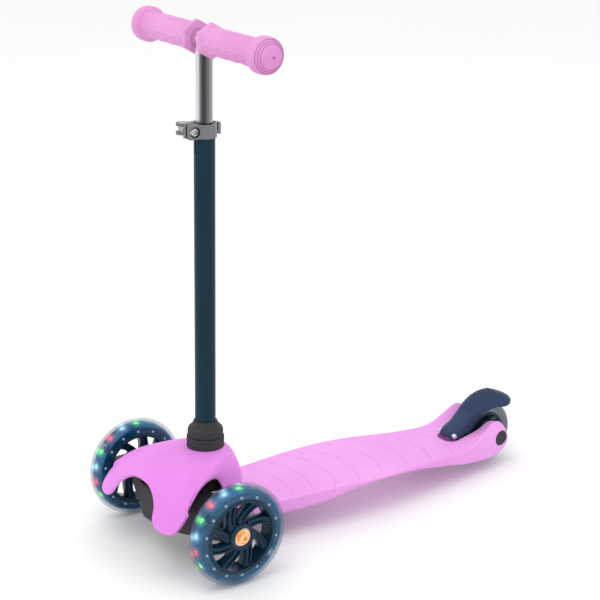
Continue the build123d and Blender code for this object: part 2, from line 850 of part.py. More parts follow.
rear_wheel = (0, rear_axle_y, rear_radius)
rear_section = axle_section(*rear_wheel)
rim("rear_rim", *rear_wheel, rear_half, rear_rim_radius, 5, 20, 4.5, 6.0)
bearings("rear_bearings", *rear_wheel, rear_half)
with BuildPart() as rear_tyre:
    with BuildSketch(rear_section):
        with BuildLine():
            lip = rear_rim_radius + seat_gap
            Polyline((-rear_half, rear_radius - 6), (-rear_half, lip + 3), (-10, lip), (10, lip),
                     (rear_half, lip + 3), (rear_half, rear_radius - 6))
            ThreePointArc((rear_half, rear_radius - 6), (0, rear_radius), (-rear_half, rear_radius - 6))
        make_face()
    revolve(axis=Axis(rear_section.origin, rear_section.x_dir))
save(rear_tyre, "rear_tyre")
rear_race = rear_half - bearing_recess
save_group(
    "rear_axle_spacers",
    ring(rear_section, -(rear_race - bearing_width - fit_gap), rear_race - bearing_width - fit_gap,
         axle_radius + seat_gap, bearing_radius - 4.6),
    *[
        ring(rear_section, sign * (rear_race + fit_gap), sign * (slot_half_width - seat_gap),
             axle_radius + seat_gap, 7.0)
        for sign in (-1, 1)
    ],
)
pocket_floor = ear_outer - cap_depth - 10
save_group(
    "rear_axle_bolt",
    turn(
        rear_section,
        (pocket_floor + 5, 0), (pocket_floor + 5, 6.5), (pocket_floor, 6.5), (pocket_floor, axle_radius),
        (-pocket_floor - nut_width - 1, axle_radius), (-pocket_floor - nut_width - 1, 0),
    ),
)
with BuildPart() as rear_axle_nut:
    with BuildSketch(side_plane(-pocket_floor, rear_axle_y)):
        with Locations((0, rear_radius)):
            RegularPolygon(nut_flats / 2, 6, major_radius=False)
            Circle(axle_radius, mode=Mode.SUBTRACT)
    extrude(amount=-nut_width)
save(rear_axle_nut, "rear_axle_nut")
save_group(
    "rear_axle_caps",
    *[
        ring(rear_section, sign * (ear_outer - cap_depth), sign * (ear_outer - 0.6), 0, cap_radius)
        for sign in (-1, 1)
    ],
)

# ---------------------------------------------------------------- rear brake
pin_y = rear_axle_y - brake_pin_offset
knuckle_half = 11.7
spring_half = 4.8
fender_inner = rear_half + 0.8
fender_clearance = 6.0

with BuildPart() as brake_fender:
    with BuildSketch(side_plane(-fender_half_width, rear_axle_y)):
        with BuildLine():
            crown = Spline(
                (-brake_pin_offset - 4, brake_pin_height + 4.5),
                (-43, 63), (-28, 80), (-2, fender_height), (24, fender_height - 4),
                (43, 76), (47, 70),
            )
            Spline((47, 70), (41, 64.5), (28, 66), (12, 71), (-12, 69), (-30, 59), (-42, 46))
            Line((-42, 46), (-brake_pin_offset, brake_pin_height - 4))
            Line((-brake_pin_offset, brake_pin_height - 4), crown @ 0)
        make_face()
    extrude(amount=2 * fender_half_width)
    # channel over the tyre
    with BuildSketch(side_plane(-fender_inner, rear_axle_y)):
        with Locations((0, rear_radius)):
            Circle(rear_radius + fender_clearance)
    extrude(amount=2 * fender_inner, mode=Mode.SUBTRACT)
    # narrow knuckles around the pin, with room for the spring between them
    for sign in (-1, 1):
        with BuildSketch(side_plane(sign * knuckle_half, pin_y)):
            with Locations((-3, brake_pin_height)):
                Rectangle(24, 34)
        extrude(amount=sign * 20, mode=Mode.SUBTRACT)
    with BuildSketch(side_plane(-spring_half, pin_y)):
        with Locations((0, brake_pin_height)):
            Circle(5.6)
        with Locations((-6, brake_pin_height)):
            Rectangle(12, 11.2)
    extrude(amount=2 * spring_half, mode=Mode.SUBTRACT)
    add(
        ring(axle_section(0, pin_y, brake_pin_height), -30, 30, 0, brake_pin_radius + running_gap),
        mode=Mode.SUBTRACT,
    )
save(brake_fender, "brake_fender")

pin_section = axle_section(0, pin_y, brake_pin_height)
save_group(
    "brake_pin",
    ring(pin_section, -brake_pin_half_length, brake_pin_half_length, 0, brake_pin_radius),
)
coils = 6
wire = 2 * (spring_half - 0.3) / coils
with BuildPart() as brake_spring:
    with BuildSketch(pin_section):
        with BuildLine():
            inner = Line((-spring_half + 0.3, brake_pin_radius + 0.4),
                         (spring_half - 0.3, brake_pin_radius + 0.4))
            outer_radius = brake_pin_radius + 1.4
            Line(inner @ 1, (spring_half - 0.3, outer_radius))
            for coil in range(coils):
                start = spring_half - 0.3 - coil * wire
                ThreePointArc((start, outer_radius), (start - wire / 2, outer_radius + wire / 2),
                              (start - wire, outer_radius))
            Line((-spring_half + 0.3, outer_radius), inner @ 0)
        make_face()
    revolve(axis=Axis(pin_section.origin, pin_section.x_dir))
save(brake_spring, "brake_spring")

# ---------------------------------------------------------------- steering column
with BuildPart() as lower_tube:
    add(ring(column_section(0), lower_tube_bottom + 0.2, clamp_top - 0.6, lower_tube_bore, lower_tube_radius))
    with BuildSketch(column_plane(clamp_top)):
        with Locations((0, -lower_tube_radius)):
            Rectangle(2.0, 8)
    extrude(amount=-34, mode=Mode.SUBTRACT)
    add(
        ring(axle_section(*column_point(column_bolt_height)), -30, 30, 0, column_bolt_radius + seat_gap),
        mode=Mode.SUBTRACT,
    )
save(lower_tube, "lower_tube")

bolt_section = axle_section(*column_point(column_bolt_height))
save_group(
    "column_bolt",
    turn(
        bolt_section,
        (socket_radius + 4, 0), (socket_radius + 4, 5.0), (socket_radius, 5.0),
        (socket_radius, column_bolt_radius),
        (-socket_radius - 6, column_bolt_radius), (-socket_radius - 6, 0),
    ),
)
with BuildPart() as column_nut:
    nut_centre = column_point(column_bolt_height)
    with BuildSketch(side_plane(-socket_radius)):
        with Locations((nut_centre[1], nut_centre[2])):
            RegularPolygon(5.0, 6, major_radius=False)
            Circle(column_bolt_radius, mode=Mode.SUBTRACT)
    extrude(amount=-5)
save(column_nut, "column_nut")

tube_seat = lower_tube_radius + seat_gap
save_group(
    "base_collar",
    turn(
        column_section(0),
        (collar_bottom, tube_seat), (collar_bottom, collar_radius), (collar_split - 0.8, collar_radius),
        (collar_split - 0.1, collar_radius - 0.7), (collar_split - 0.1, tube_seat),
    ),
)
with BuildPart() as collar_cap:
    shoulder = collar_radius - 1.2
    with BuildSketch(column_section(0)):
        with BuildLine():
            Polyline((collar_split, tube_seat), (collar_split, shoulder - 0.8),
                     (collar_split + 0.8, shoulder), (collar_split + 7, shoulder))
            ThreePointArc((collar_split + 7, shoulder), (collar_split + 10.5, shoulder - 1.6),
                          (collar_split + 12.5, shoulder - 4.5))
            Polyline((collar_split + 12.5, shoulder - 4.5), (collar_top, tube_seat + 1.4),
                     (collar_top, tube_seat), (collar_split, tube_seat))
        make_face()
    revolve(axis=Axis(column_section(0).origin, column_section(0).x_dir))
save(collar_cap, "collar_cap")

# ---------------------------------------------------------------- height clamp
ear_width = 8.6
ear_root = 8.0
clamp_slit = 2.4
clamp_bolt_radius = 2.5
bolt_y = -(lower_tube_radius + clamp_bolt_radius + 2.5)
ear_reach = 6.0 - bolt_y
barrel_x = -18.4
barrel_radius = 4.6
cam_radius = 7.2
clamp_mid = clamp_bottom + clamp_height / 2
clamp_outer = tube_seat + clamp_wall
lever_inner = clamp_outer + 3.1
lever_wall = 3.2
lever_height = 13.0


def clamp_plane(x, y):
    """Plane through a point beside the column at mid-clamp height: local x along +X."""
    centre = column_plane(clamp_mid).from_local_coords(Vector(x, y, 0))
    return Plane(origin=centre, x_dir=(1, 0, 0), z_dir=(0, -1, 0))


with BuildPart() as clamp_collar:
    with BuildSketch(column_plane(clamp_bottom)):
        Circle(clamp_outer)
        with Locations((0, -(ear_reach + ear_root) / 2)):
            RectangleRounded(2 * ear_width, ear_reach - ear_root, 2.5)
        Circle(tube_seat, mode=Mode.SUBTRACT)
        with Locations((0, bolt_y)):
            Rectangle(clamp_slit, 14, mode=Mode.SUBTRACT)
    extrude(amount=clamp_height)
    add(ring(clamp_plane(0, bolt_y), -20, 20, 0, clamp_bolt_radius + seat_gap), mode=Mode.SUBTRACT)
    add(ring(clamp_plane(0, bolt_y), ear_width - 3.6, 20, 0, 6.1), mode=Mode.SUBTRACT)
save(clamp_collar, "clamp_collar")

save_group(
    "clamp_bolt",
    turn(
        clamp_plane(0, bolt_y),
        (barrel_x - 3, 0), (barrel_x - 3, clamp_bolt_radius), (ear_width - 3.6, clamp_bolt_radius),
        (ear_width - 3.6, 5.6), (ear_width - 2.2, 5.6), (ear_width - 0.6, 4.2), (ear_width, 2.2),
        (ear_width - 1.6, 1.8), (ear_width - 1.6, 0),
    ),
)
save_group(
    "clamp_washer",
    ring(clamp_plane(0, bolt_y), barrel_x + cam_radius + fit_gap, -ear_width - 0.05,
         clamp_bolt_radius + seat_gap, 5.5),
)
with BuildPart() as lever_barrel:
    with BuildSketch(column_plane(clamp_mid - lever_height / 2)):
        with Locations((barrel_x, bolt_y)):
            Circle(barrel_radius)
    extrude(amount=lever_height)
    add(ring(clamp_plane(0, bolt_y), -40, 0, 0, clamp_bolt_radius + seat_gap / 2), mode=Mode.SUBTRACT)
save(lever_barrel, "lever_barrel")

with BuildPart() as clamp_lever:
    with BuildSketch(column_plane(clamp_mid - lever_height / 2)):
        with Locations((barrel_x, bolt_y)):
            Circle(cam_radius)
        with BuildLine():
            CenterArc((0, 0), lever_inner + lever_wall, 84, 126)
            CenterArc((0, 0), lever_inner, 84, 126)
            for angle in (84, 210):
                Line(
                    Vector(lever_inner, 0).rotate(Axis.Z, angle),
                    Vector(lever_inner + lever_wall, 0).rotate(Axis.Z, angle),
                )
        make_face()
        with Locations((barrel_x, bolt_y)):
            Circle(barrel_radius + running_gap, mode=Mode.SUBTRACT)
    extrude(amount=lever_height)
    # window in the fork so that the bolt clears the cam as the lever swings
    with BuildSketch(column_plane(clamp_mid - 3.2)):
        with Locations((barrel_x, bolt_y - 2.6)):
            Rectangle(2 * cam_radius + 2, 11)
    extrude(amount=6.4, mode=Mode.SUBTRACT)
save(clamp_lever, "clamp_lever")

# ---------------------------------------------------------------- handlebar
bar_point = column_point(handlebar_height)
bar_section = axle_section(*bar_point)
bar_bore = upper_tube_radius - upper_tube_wall
with BuildPart() as upper_tube:
    add(ring(column_section(0), upper_tube_bottom, handlebar_height, bar_bore, upper_tube_radius))
    add(ring(bar_section, -30, 30, 0, upper_tube_radius), mode=Mode.SUBTRACT)
save(upper_tube, "upper_tube")
save_group(
    "tube_bush",
    turn(
        column_section(0),
        (upper_tube_bottom - 6, 0), (upper_tube_bottom - 6, lower_tube_bore - 0.08),
        (upper_tube_bottom - 0.05, lower_tube_bore - 0.08), (upper_tube_bottom - 0.05, bar_bore - seat_gap),
        (upper_tube_bottom + 12, bar_bore - seat_gap), (upper_tube_bottom + 12, 0),
    ),
)
save_group(
    "crossbar",
    ring(bar_section, -knob_end + 4, knob_end - 4, bar_bore, upper_tube_radius),
)
flange_start = grip_gap / 2
grip_seat = upper_tube_radius + seat_gap
knob_start = knob_end - grip_knob_width
end_hole_radius = 1.2
for side, sign in (("left", 1), ("right", -1)):
    with BuildPart() as grip:
        add(
            turn(
                bar_section,
                (sign * flange_start, grip_seat), (sign * (knob_end - 3.9), grip_seat),
                (sign * (knob_end - 3.9), end_hole_radius), (sign * knob_end, end_hole_radius),
                (sign * knob_end, 6.5), (sign * (knob_end - 2.5), 12.5),
                (sign * (knob_end - 6), 16.5), (sign * (knob_end - 10), grip_knob_radius),
                (sign * (knob_start + 2), grip_knob_radius), (sign * knob_start, grip_radius + 1),
                (sign * (knob_start - 2), grip_radius),
                (sign * (flange_start + grip_flange_width + 3), grip_radius),
                (sign * flange_start, grip_radius),
            )
        )
        with BuildSketch(side_plane(sign * flange_start)):
            with Locations((bar_point[1], bar_point[2])):
                RegularPolygon(grip_flange_radius, 6)
                Circle(grip_seat, mode=Mode.SUBTRACT)
        extrude(amount=sign * grip_flange_width)
        # the inner flange is notched round the upright tube
        add(
            ring(column_section(0), handlebar_height - 40, handlebar_height, 0, upper_tube_radius + fit_gap),
            mode=Mode.SUBTRACT,
        )
    save(grip, f"grip_{side}")
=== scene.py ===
"""Visible kick scooter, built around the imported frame: detailed pieces, finishes, light and camera.

Sizes are in millimetres in the classes and are turned into metres where meshes are made.
The frame has +Z up, the scooter faces -Y and +X is the rider's left.
"""

from __future__ import annotations

import json
import logging
import math
from dataclasses import dataclass, field
from enum import Enum
from typing import Callable, Sequence

import bmesh
import bpy
import numpy as np
from mathutils import Matrix, Vector

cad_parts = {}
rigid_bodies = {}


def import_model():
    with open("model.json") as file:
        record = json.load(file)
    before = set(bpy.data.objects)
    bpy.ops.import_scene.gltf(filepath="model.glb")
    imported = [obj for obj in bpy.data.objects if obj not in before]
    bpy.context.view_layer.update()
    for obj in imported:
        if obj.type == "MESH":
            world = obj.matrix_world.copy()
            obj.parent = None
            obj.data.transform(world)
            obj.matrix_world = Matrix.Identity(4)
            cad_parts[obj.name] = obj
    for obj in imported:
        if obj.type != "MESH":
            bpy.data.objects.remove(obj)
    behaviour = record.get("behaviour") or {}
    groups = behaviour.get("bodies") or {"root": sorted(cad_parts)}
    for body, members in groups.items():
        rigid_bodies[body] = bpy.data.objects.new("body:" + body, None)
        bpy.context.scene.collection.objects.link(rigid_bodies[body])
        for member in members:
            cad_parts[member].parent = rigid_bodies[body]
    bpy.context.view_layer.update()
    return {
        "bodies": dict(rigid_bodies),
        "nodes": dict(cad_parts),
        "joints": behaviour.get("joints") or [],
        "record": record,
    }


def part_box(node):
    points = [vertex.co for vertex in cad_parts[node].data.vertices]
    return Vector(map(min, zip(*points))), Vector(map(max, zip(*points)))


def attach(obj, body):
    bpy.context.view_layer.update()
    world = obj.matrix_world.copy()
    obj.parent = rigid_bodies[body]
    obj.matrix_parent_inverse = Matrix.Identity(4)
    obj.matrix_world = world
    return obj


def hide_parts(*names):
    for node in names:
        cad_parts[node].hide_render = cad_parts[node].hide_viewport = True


MM = 0.001
LOG = logging.getLogger("scooter")
Colour = tuple[float, float, float]
Point = tuple[float, float]


# ---------------------------------------------------------------- shader maths
class Wire:
    """A shader socket that can be used in a Python expression."""

    def __init__(self, graph: Graph, socket: bpy.types.NodeSocket) -> None:
        """Keep the socket with the graph it belongs to."""
        self.graph = graph
        self.socket = socket

    def __add__(self, other: Wire | float) -> Wire:
        """Sum of two values."""
        return self.graph.maths("ADD", self, other)

    __radd__ = __add__

    def __sub__(self, other: Wire | float) -> Wire:
        """Difference of two values."""
        return self.graph.maths("SUBTRACT", self, other)

    def __rsub__(self, other: float) -> Wire:
        """Difference with a number on the left."""
        return self.graph.maths("SUBTRACT", other, self)

    def __mul__(self, other: Wire | float) -> Wire:
        """Product of two values."""
        return self.graph.maths("MULTIPLY", self, other)

    __rmul__ = __mul__

    def __truediv__(self, other: Wire | float) -> Wire:
        """Quotient of two values."""
        return self.graph.maths("DIVIDE", self, other)

    def __pow__(self, other: Wire | float) -> Wire:
        """Power of a value."""
        return self.graph.maths("POWER", self, other)


class Graph:
    """Nodes of one material."""

    def __init__(self, name: str) -> None:
        """Start an empty material.

        Args:
            name: Name of the material.
        """
        self.material = bpy.data.materials.new(name)
        self.material.use_nodes = True
        self.tree = self.material.node_tree
        self.tree.nodes.clear()

    def node(self, kind: str, settings: dict | None = None, values: dict | None = None) -> bpy.types.Node:
        """Make one node.

        Args:
            kind: Blender's type of the node.
            settings: Attributes that are set first; "stops" holds a ramp's positions and colours.
            values: Numbers, colours or wires for its input sockets, by name or index.

        Returns:
            The new node.
        """
        made = self.tree.nodes.new(kind)
        for key, value in (settings or {}).items():
            if key == "stops":
                ramp = made.color_ramp
                while len(ramp.elements) < len(value):
                    ramp.elements.new(1.0)
                for stop, (position, colour) in zip(ramp.elements, value):
                    stop.position = position
                    stop.color = (*colour, 1.0)
            elif key == "interpolation":
                made.color_ramp.interpolation = value
            else:
                setattr(made, key, value)
        for key, value in (values or {}).items():
            if isinstance(value, Wire):
                self.tree.links.new(value.socket, made.inputs[key])
            else:
                made.inputs[key].default_value = value
        return made

    def maths(self, operation: str, *values: Wire | float) -> Wire:
        """Math node on up to three values."""
        made = self.node("ShaderNodeMath", {"operation": operation}, dict(enumerate(values)))
        return Wire(self, made.outputs[0])

    def place(self) -> Wire:
        """Position on the piece, in the row frame at rest."""
        return Wire(self, self.node("ShaderNodeTexCoord").outputs["Object"])

    def facing(self) -> Wire:
        """Direction in which the surface faces, in the row frame at rest."""
        return Wire(self, self.node("ShaderNodeTexCoord").outputs["Normal"])

    def axes(self, vector: Wire) -> tuple[Wire, Wire, Wire]:
        """Split a vector into its X, Y and Z."""
        made = self.node("ShaderNodeSeparateXYZ", None, {0: vector})
        return Wire(self, made.outputs[0]), Wire(self, made.outputs[1]), Wire(self, made.outputs[2])

    def stretched(self, vector: Wire, scale: Sequence[float]) -> Wire:
        """Vector multiplied axis by axis."""
        made = self.node("ShaderNodeVectorMath", {"operation": "MULTIPLY"}, {0: vector, 1: tuple(scale)})
        return Wire(self, made.outputs[0])

    def noise(self, vector: Wire, scale: float, detail: float = 3.0) -> Wire:
        """Noise from 0 to 1 with a scale in cycles per metre."""
        made = self.node("ShaderNodeTexNoise", None, {"Vector": vector, "Scale": scale, "Detail": detail})
        return Wire(self, made.outputs["Fac"])

    def between(self, value: Wire, low: float, high: float) -> Wire:
        """Smooth step from 0 to 1 as the value goes from low to high."""
        made = self.node(
            "ShaderNodeMapRange",
            {"interpolation_type": "SMOOTHSTEP"},
            {"Value": value, "From Min": low, "From Max": high},
        )
        return Wire(self, made.outputs[0])

    def blend(
        self, share: Wire | float, first: Wire | Colour, second: Wire | Colour, mode: str = "MIX",
    ) -> Wire:
        """Mix of two colours."""
        colours = [c if isinstance(c, Wire) else (*c, 1.0) for c in (first, second)]
        made = self.node(
            "ShaderNodeMix",
            {"data_type": "RGBA", "blend_type": mode},
            {0: share, 6: colours[0], 7: colours[1]},
        )
        return Wire(self, made.outputs[2])

    def ramp(self, value: Wire, stops: Sequence[tuple[float, Colour]], steps: str = "LINEAR") -> Wire:
        """Colour ramp on a value."""
        made = self.node("ShaderNodeValToRGB", {"stops": stops, "interpolation": steps}, {0: value})
        return Wire(self, made.outputs[0])

    def relief(self, height: Wire, depth: float, strength: float = 1.0) -> Wire:
        """Bump from a height of 0 to 1 over a depth in metres."""
        made = self.node(
            "ShaderNodeBump", None, {"Height": height, "Distance": depth, "Strength": strength},
        )
        return Wire(self, made.outputs[0])

    def shaded(self, values: dict) -> bpy.types.Material:
        """Finish the material with a Principled shader that has these values."""
        shader = self.node("ShaderNodeBsdfPrincipled", None, values)
        self.node("ShaderNodeOutputMaterial", None, {"Surface": Wire(self, shader.outputs[0])})
        return self.material


class Grain(Enum):
    """Direction in which a surface's fine marks run, as a stretch of its coordinates."""

    EVEN = (1.0, 1.0, 1.0)
    UP_THE_COLUMN = (1.0, 1.0, 0.02)
    ALONG_THE_BAR = (0.02, 1.0, 1.0)


@dataclass(frozen=True)
class Finish:
    """Opaque finish: moulded plastic, rubber, paint or metal."""

    name: str
    colour: Colour
    shade: Colour
    roughness: float
    slot: str
    metallic: float = 0.0
    coat: float = 0.0
    grain_scale: float = 900.0
    grain_depth: float = 0.00008
    gloss_spread: float = 0.08
    grain: Grain = Grain.EVEN
    specular: float = 0.5
    sheen: float = 0.0
    # Painted reflection bands: (position, brightness) stops by facing direction, none if empty.
    painted_reflections: tuple[tuple[float, float], ...] = ()

    def material(self) -> bpy.types.Material:
        """Material of this finish, made once."""
        made = bpy.data.materials.get(self.name)
        if made:
            return made
        graph = Graph(self.name)
        place = graph.place()
        fine = graph.noise(graph.stretched(place, self.grain.value), self.grain_scale, 4.0)
        cloud = graph.noise(place, 9.0, 2.0)
        tone = graph.between(cloud * 0.75 + fine * 0.25, 0.35, 0.68)
        colour = graph.blend(tone, self.colour, self.shade)
        # Painted reflection: dark and bright bands by the way the surface faces are multiplied into the base
        # colour, standing in for the studio seen in the chrome.
        if self.painted_reflections:
            x, y, _ = graph.axes(graph.facing())
            stops = [(at, (value, value, value * 1.02)) for at, value in self.painted_reflections]
            colour = graph.blend(1.0, colour, graph.ramp(x * 0.29 + y * 0.405 + 0.5, stops), "MULTIPLY")
        return graph.shaded(
            {
                "Base Color": colour,
                "Roughness": self.roughness + (fine - 0.5) * (2 * self.gloss_spread),
                "Metallic": self.metallic,
                "Coat Weight": self.coat,
                "Coat Roughness": 0.12,
                "Specular IOR Level": self.specular,
                "Sheen Weight": self.sheen,
                "Normal": graph.relief(fine, self.grain_depth),
            }
        )


PINK = Finish(
    "satin_pink_plastic", (0.80, 0.35, 0.78), (0.75, 0.31, 0.74), 0.55, "deck_plastic", specular=0.25,
)
COVER_PINK = Finish(
    "satin_pink_cover", (0.73, 0.25, 0.735), (0.68, 0.215, 0.69), 0.5, "cover_plastic", specular=0.25,
)
GRIP_PINK = Finish(
    "soft_pink_rubber", (0.69, 0.30, 0.60), (0.62, 0.24, 0.53), 0.6, "grip_rubber",
    grain_scale=500.0, sheen=0.1, specular=0.2,
)
SLATE = Finish(
    "slate_navy_plastic", (0.018, 0.036, 0.088), (0.026, 0.05, 0.115), 0.42, "brake_plastic", specular=0.2,
)
RIM_NAVY = Finish(
    "navy_rim_plastic", (0.004, 0.022, 0.046), (0.007, 0.034, 0.066), 0.25, "rim_plastic", specular=0.2,
    coat=0.04,
)
BLACK = Finish(
    "black_plastic", (0.003, 0.003, 0.0035), (0.009, 0.008, 0.009), 0.26, "black_plastic", specular=0.14,
)
TUBE_NAVY = Finish(
    "deep_navy_enamel", (0.004, 0.022, 0.038), (0.005, 0.028, 0.046), 0.3, "tube_paint",
    grain_scale=1400.0, specular=0.13,
)
# Painted reflection bands for the chrome tube: where each band sits round the tube and how bright it is.
TUBE_PAINTED_REFLECTIONS = (
    (0.0, 0.95), (0.17, 0.95), (0.26, 0.36), (0.35, 0.15), (0.45, 0.075), (0.55, 0.07),
    (0.66, 0.17), (0.76, 0.22), (0.86, 0.38), (0.94, 0.44), (0.985, 0.9),
)
CHROME = Finish(
    "polished_tube", (0.78, 0.78, 0.8), (0.72, 0.72, 0.74), 0.2, "chrome", 1.0,
    grain_scale=1500.0, grain_depth=0.00002, grain=Grain.UP_THE_COLUMN, painted_reflections=TUBE_PAINTED_REFLECTIONS,
)
BAR_CHROME = Finish(
    "polished_bar", (0.80, 0.80, 0.82), (0.72, 0.72, 0.74), 0.22, "chrome", 1.0,
    grain_scale=1500.0, grain_depth=0.00002, grain=Grain.ALONG_THE_BAR,
)
CAST = Finish(
    "cast_silver", (0.27, 0.27, 0.29), (0.17, 0.17, 0.19), 0.36, "clamp_metal", 1.0, grain_depth=0.00015,
)
STEEL = Finish("zinc_steel", (0.5, 0.5, 0.51), (0.4, 0.4, 0.42), 0.28, "steel", 1.0)
BRIGHT_STEEL = Finish("bright_steel", (0.85, 0.85, 0.86), (0.78, 0.78, 0.8), 0.2, "steel", 1.0)
COPPER = Finish("copper_plate", (0.97, 0.60, 0.36), (0.90, 0.50, 0.27), 0.22, "copper_bolt", 1.0)
RUBBER = Finish("dark_bushing_rubber", (0.02, 0.02, 0.02), (0.03, 0.03, 0.03), 0.6, "bushing_rubber")
MAGNET = Finish("nickel_magnet", (0.3, 0.3, 0.31), (0.24, 0.24, 0.25), 0.35, "magnet", 1.0)


@dataclass(frozen=True)
class Lamps:
    """Row of small lamps round a wheel, in metres: where they are, which are lit, the colours they repeat."""

    centre: tuple[float, float, float]
    count: int
    radius: float
    reach: float = 0.007
    start: float = 0.0
    lit_behind: float = 0.012
    lit_below: float = 0.034

    def painted_halo(self, graph: Graph) -> tuple[Wire, Wire]:
        """Painted halo round the lamps: colour of the nearest lamp, and how near it is.

        Args:
            graph: Material that the nodes belong to.

        Returns:
            The colour, and a mask that is 1 over a lamp and 0 away from it.
        """
        x, y, z = graph.axes(graph.place())
        angle = graph.maths("ARCTAN2", z - self.centre[2], y - self.centre[1])
        turns = angle * (self.count / math.tau) + (self.count + 0.5 - self.start)
        along = (graph.maths("FRACT", turns) - 0.5) * (math.tau * self.radius / self.count)
        across = x - self.centre[0]
        away = (along ** 2.0 + across ** 2.0) ** 0.5
        index = graph.maths("MODULO", graph.maths("FLOOR", turns), 3.0) / 3.0
        stops = [(0.0, (1.0, 0.03, 0.02)), (0.3, (0.15, 1.0, 0.08)), (0.6, (0.45, 0.8, 1.0))]
        hue = graph.ramp(index, stops, "CONSTANT")
        ahead = graph.between((self.centre[1] + self.lit_behind) - y, 0.0, 0.006)
        lit = ahead * graph.between(z - self.centre[2], -self.lit_below, 0.008 - self.lit_below)
        return hue, (1.0 - graph.between(away, 0.0, self.reach)) * lit


@dataclass(frozen=True)
class ClearTyre:
    """Clear tinted cast tyre, with a painted halo of lamp light round each lamp."""

    name: str
    lamps: Lamps | None = None
    tint: Colour = (0.008, 0.14, 0.30)
    deep: Colour = (0.004, 0.06, 0.15)
    cover: float = 0.34
    slot: str = "clear_tyre"

    def material(self) -> bpy.types.Material:
        """Material of this tyre."""
        graph = Graph(self.name)
        place = graph.place()
        cloud = graph.between(graph.noise(place, 35.0, 2.0), 0.35, 0.7)
        scuffs = graph.noise(graph.stretched(place, (1.0, 3.0, 3.0)), 260.0, 4.0)
        values = {
            "Base Color": graph.blend(cloud, self.tint, self.deep),
            "Roughness": 0.08 + scuffs * 0.08,
            "Coat Weight": 0.6,
            "Coat Roughness": 0.05,
            "Specular IOR Level": 0.5,
            "Alpha": self.cover,
            "Normal": graph.relief(scuffs, 0.00003),
        }
        if self.lamps:
            # Painted halo: emission and extra cover round each lit lamp stand in for lamp light inside the
            # clear tyre.
            hue, near = self.lamps.painted_halo(graph)
            values["Emission Color"] = graph.blend(near ** 2.0, (0.0, 0.0, 0.0), hue)
            values["Emission Strength"] = 1.1
            values["Alpha"] = self.cover + near * 0.25
        return graph.shaded(values)


@dataclass(frozen=True)
class LightCore:
    """Blue translucent core that carries the lamps."""

    name: str
    lamps: Lamps
    slot: str = "light_core"

    def material(self) -> bpy.types.Material:
        """Material of this core."""
        graph = Graph(self.name)
        place = graph.place()
        swirl = graph.between(graph.noise(place, 60.0, 3.0), 0.3, 0.75)
        hue, near = self.lamps.painted_halo(graph)
        _, y, z = graph.axes(graph.place())
        out = ((y - self.lamps.centre[1]) ** 2.0 + (z - self.lamps.centre[2]) ** 2.0) ** 0.5
        tread = graph.between(out, 50.0 * MM, 53.0 * MM)
        bright = graph.blend(swirl, (0.010, 0.16, 0.36), (0.03, 0.30, 0.55))
        body = graph.blend(tread, (0.004, 0.028, 0.062), bright)
        # Painted halo: emission round each lit lamp on the core's outer band stands in for lamp light inside
        # the core.
        painted_halo = graph.blend(near * tread, (0.0, 0.0, 0.0), hue)
        return graph.shaded(
            {
                "Base Color": body, "Roughness": 0.25 + swirl * 0.15, "Emission Color": painted_halo,
                "Emission Strength": 1.2,
            }
        )


@dataclass(frozen=True)
class LampGlass:
    """Lit lens of one lamp colour."""

    name: str
    colour: Colour
    power: float
    slot: str = "led"

    def material(self) -> bpy.types.Material:
        """Material of this lens."""
        graph = Graph(self.name)
        spark = graph.noise(graph.place(), 900.0, 2.0)
        return graph.shaded(
            {
                "Base Color": graph.blend(spark, self.colour, (1.0, 1.0, 1.0)),
                "Roughness": 0.2,
                "Emission Color": graph.blend(spark * 0.15, self.colour, (1.0, 1.0, 1.0)),
                "Emission Strength": self.power,
            }
        )


# ---------------------------------------------------------------- mesh tools
def smooth(points: Sequence[Sequence[float]], count: int, loop: bool = False) -> np.ndarray:
    """Even samples on a smooth curve through points.

    Args:
        points: Points in any number of dimensions.
        count: Number of samples.
        loop: Whether the curve closes on itself.

    Returns:
        Samples, one row each.
    """
    p = np.asarray(points, float)
    if loop:
        p = np.vstack([p[-1:], p, p[:2]])
    else:
        p = np.vstack([2 * p[:1] - p[1:2], p, 2 * p[-1:] - p[-2:-1]])
    knots = np.concatenate([[0], np.cumsum(np.sqrt(np.linalg.norm(np.diff(p, axis=0), axis=1)) + 1e-9)])
    first, last = knots[1], knots[-2]
    at = np.linspace(first, last, count + 1)[:-1] if loop else np.linspace(first, last, count)
    k = np.clip(np.searchsorted(knots, at, side="right") - 1, 1, len(knots) - 3)
    t0, t1, t2, t3 = (knots[k + i][:, None] for i in (-1, 0, 1, 2))
    p0, p1, p2, p3 = (p[k + i] for i in (-1, 0, 1, 2))
    t = at[:, None]
    a1 = (t1 - t) / (t1 - t0) * p0 + (t - t0) / (t1 - t0) * p1
    a2 = (t2 - t) / (t2 - t1) * p1 + (t - t1) / (t2 - t1) * p2
    a3 = (t3 - t) / (t3 - t2) * p2 + (t - t2) / (t3 - t2) * p3
    b1 = (t2 - t) / (t2 - t0) * a1 + (t - t0) / (t2 - t0) * a2
    b2 = (t3 - t) / (t3 - t1) * a2 + (t - t1) / (t3 - t1) * a3
    return (t2 - t) / (t2 - t1) * b1 + (t - t1) / (t2 - t1) * b2


def curve(points: Sequence[Point]) -> Callable[[np.ndarray], np.ndarray]:
    """Function y(x) that runs smoothly through points whose x increases."""
    dense = smooth(points, 400)
    order = np.argsort(dense[:, 0])
    return lambda x: np.interp(x, dense[order, 0], dense[order, 1])


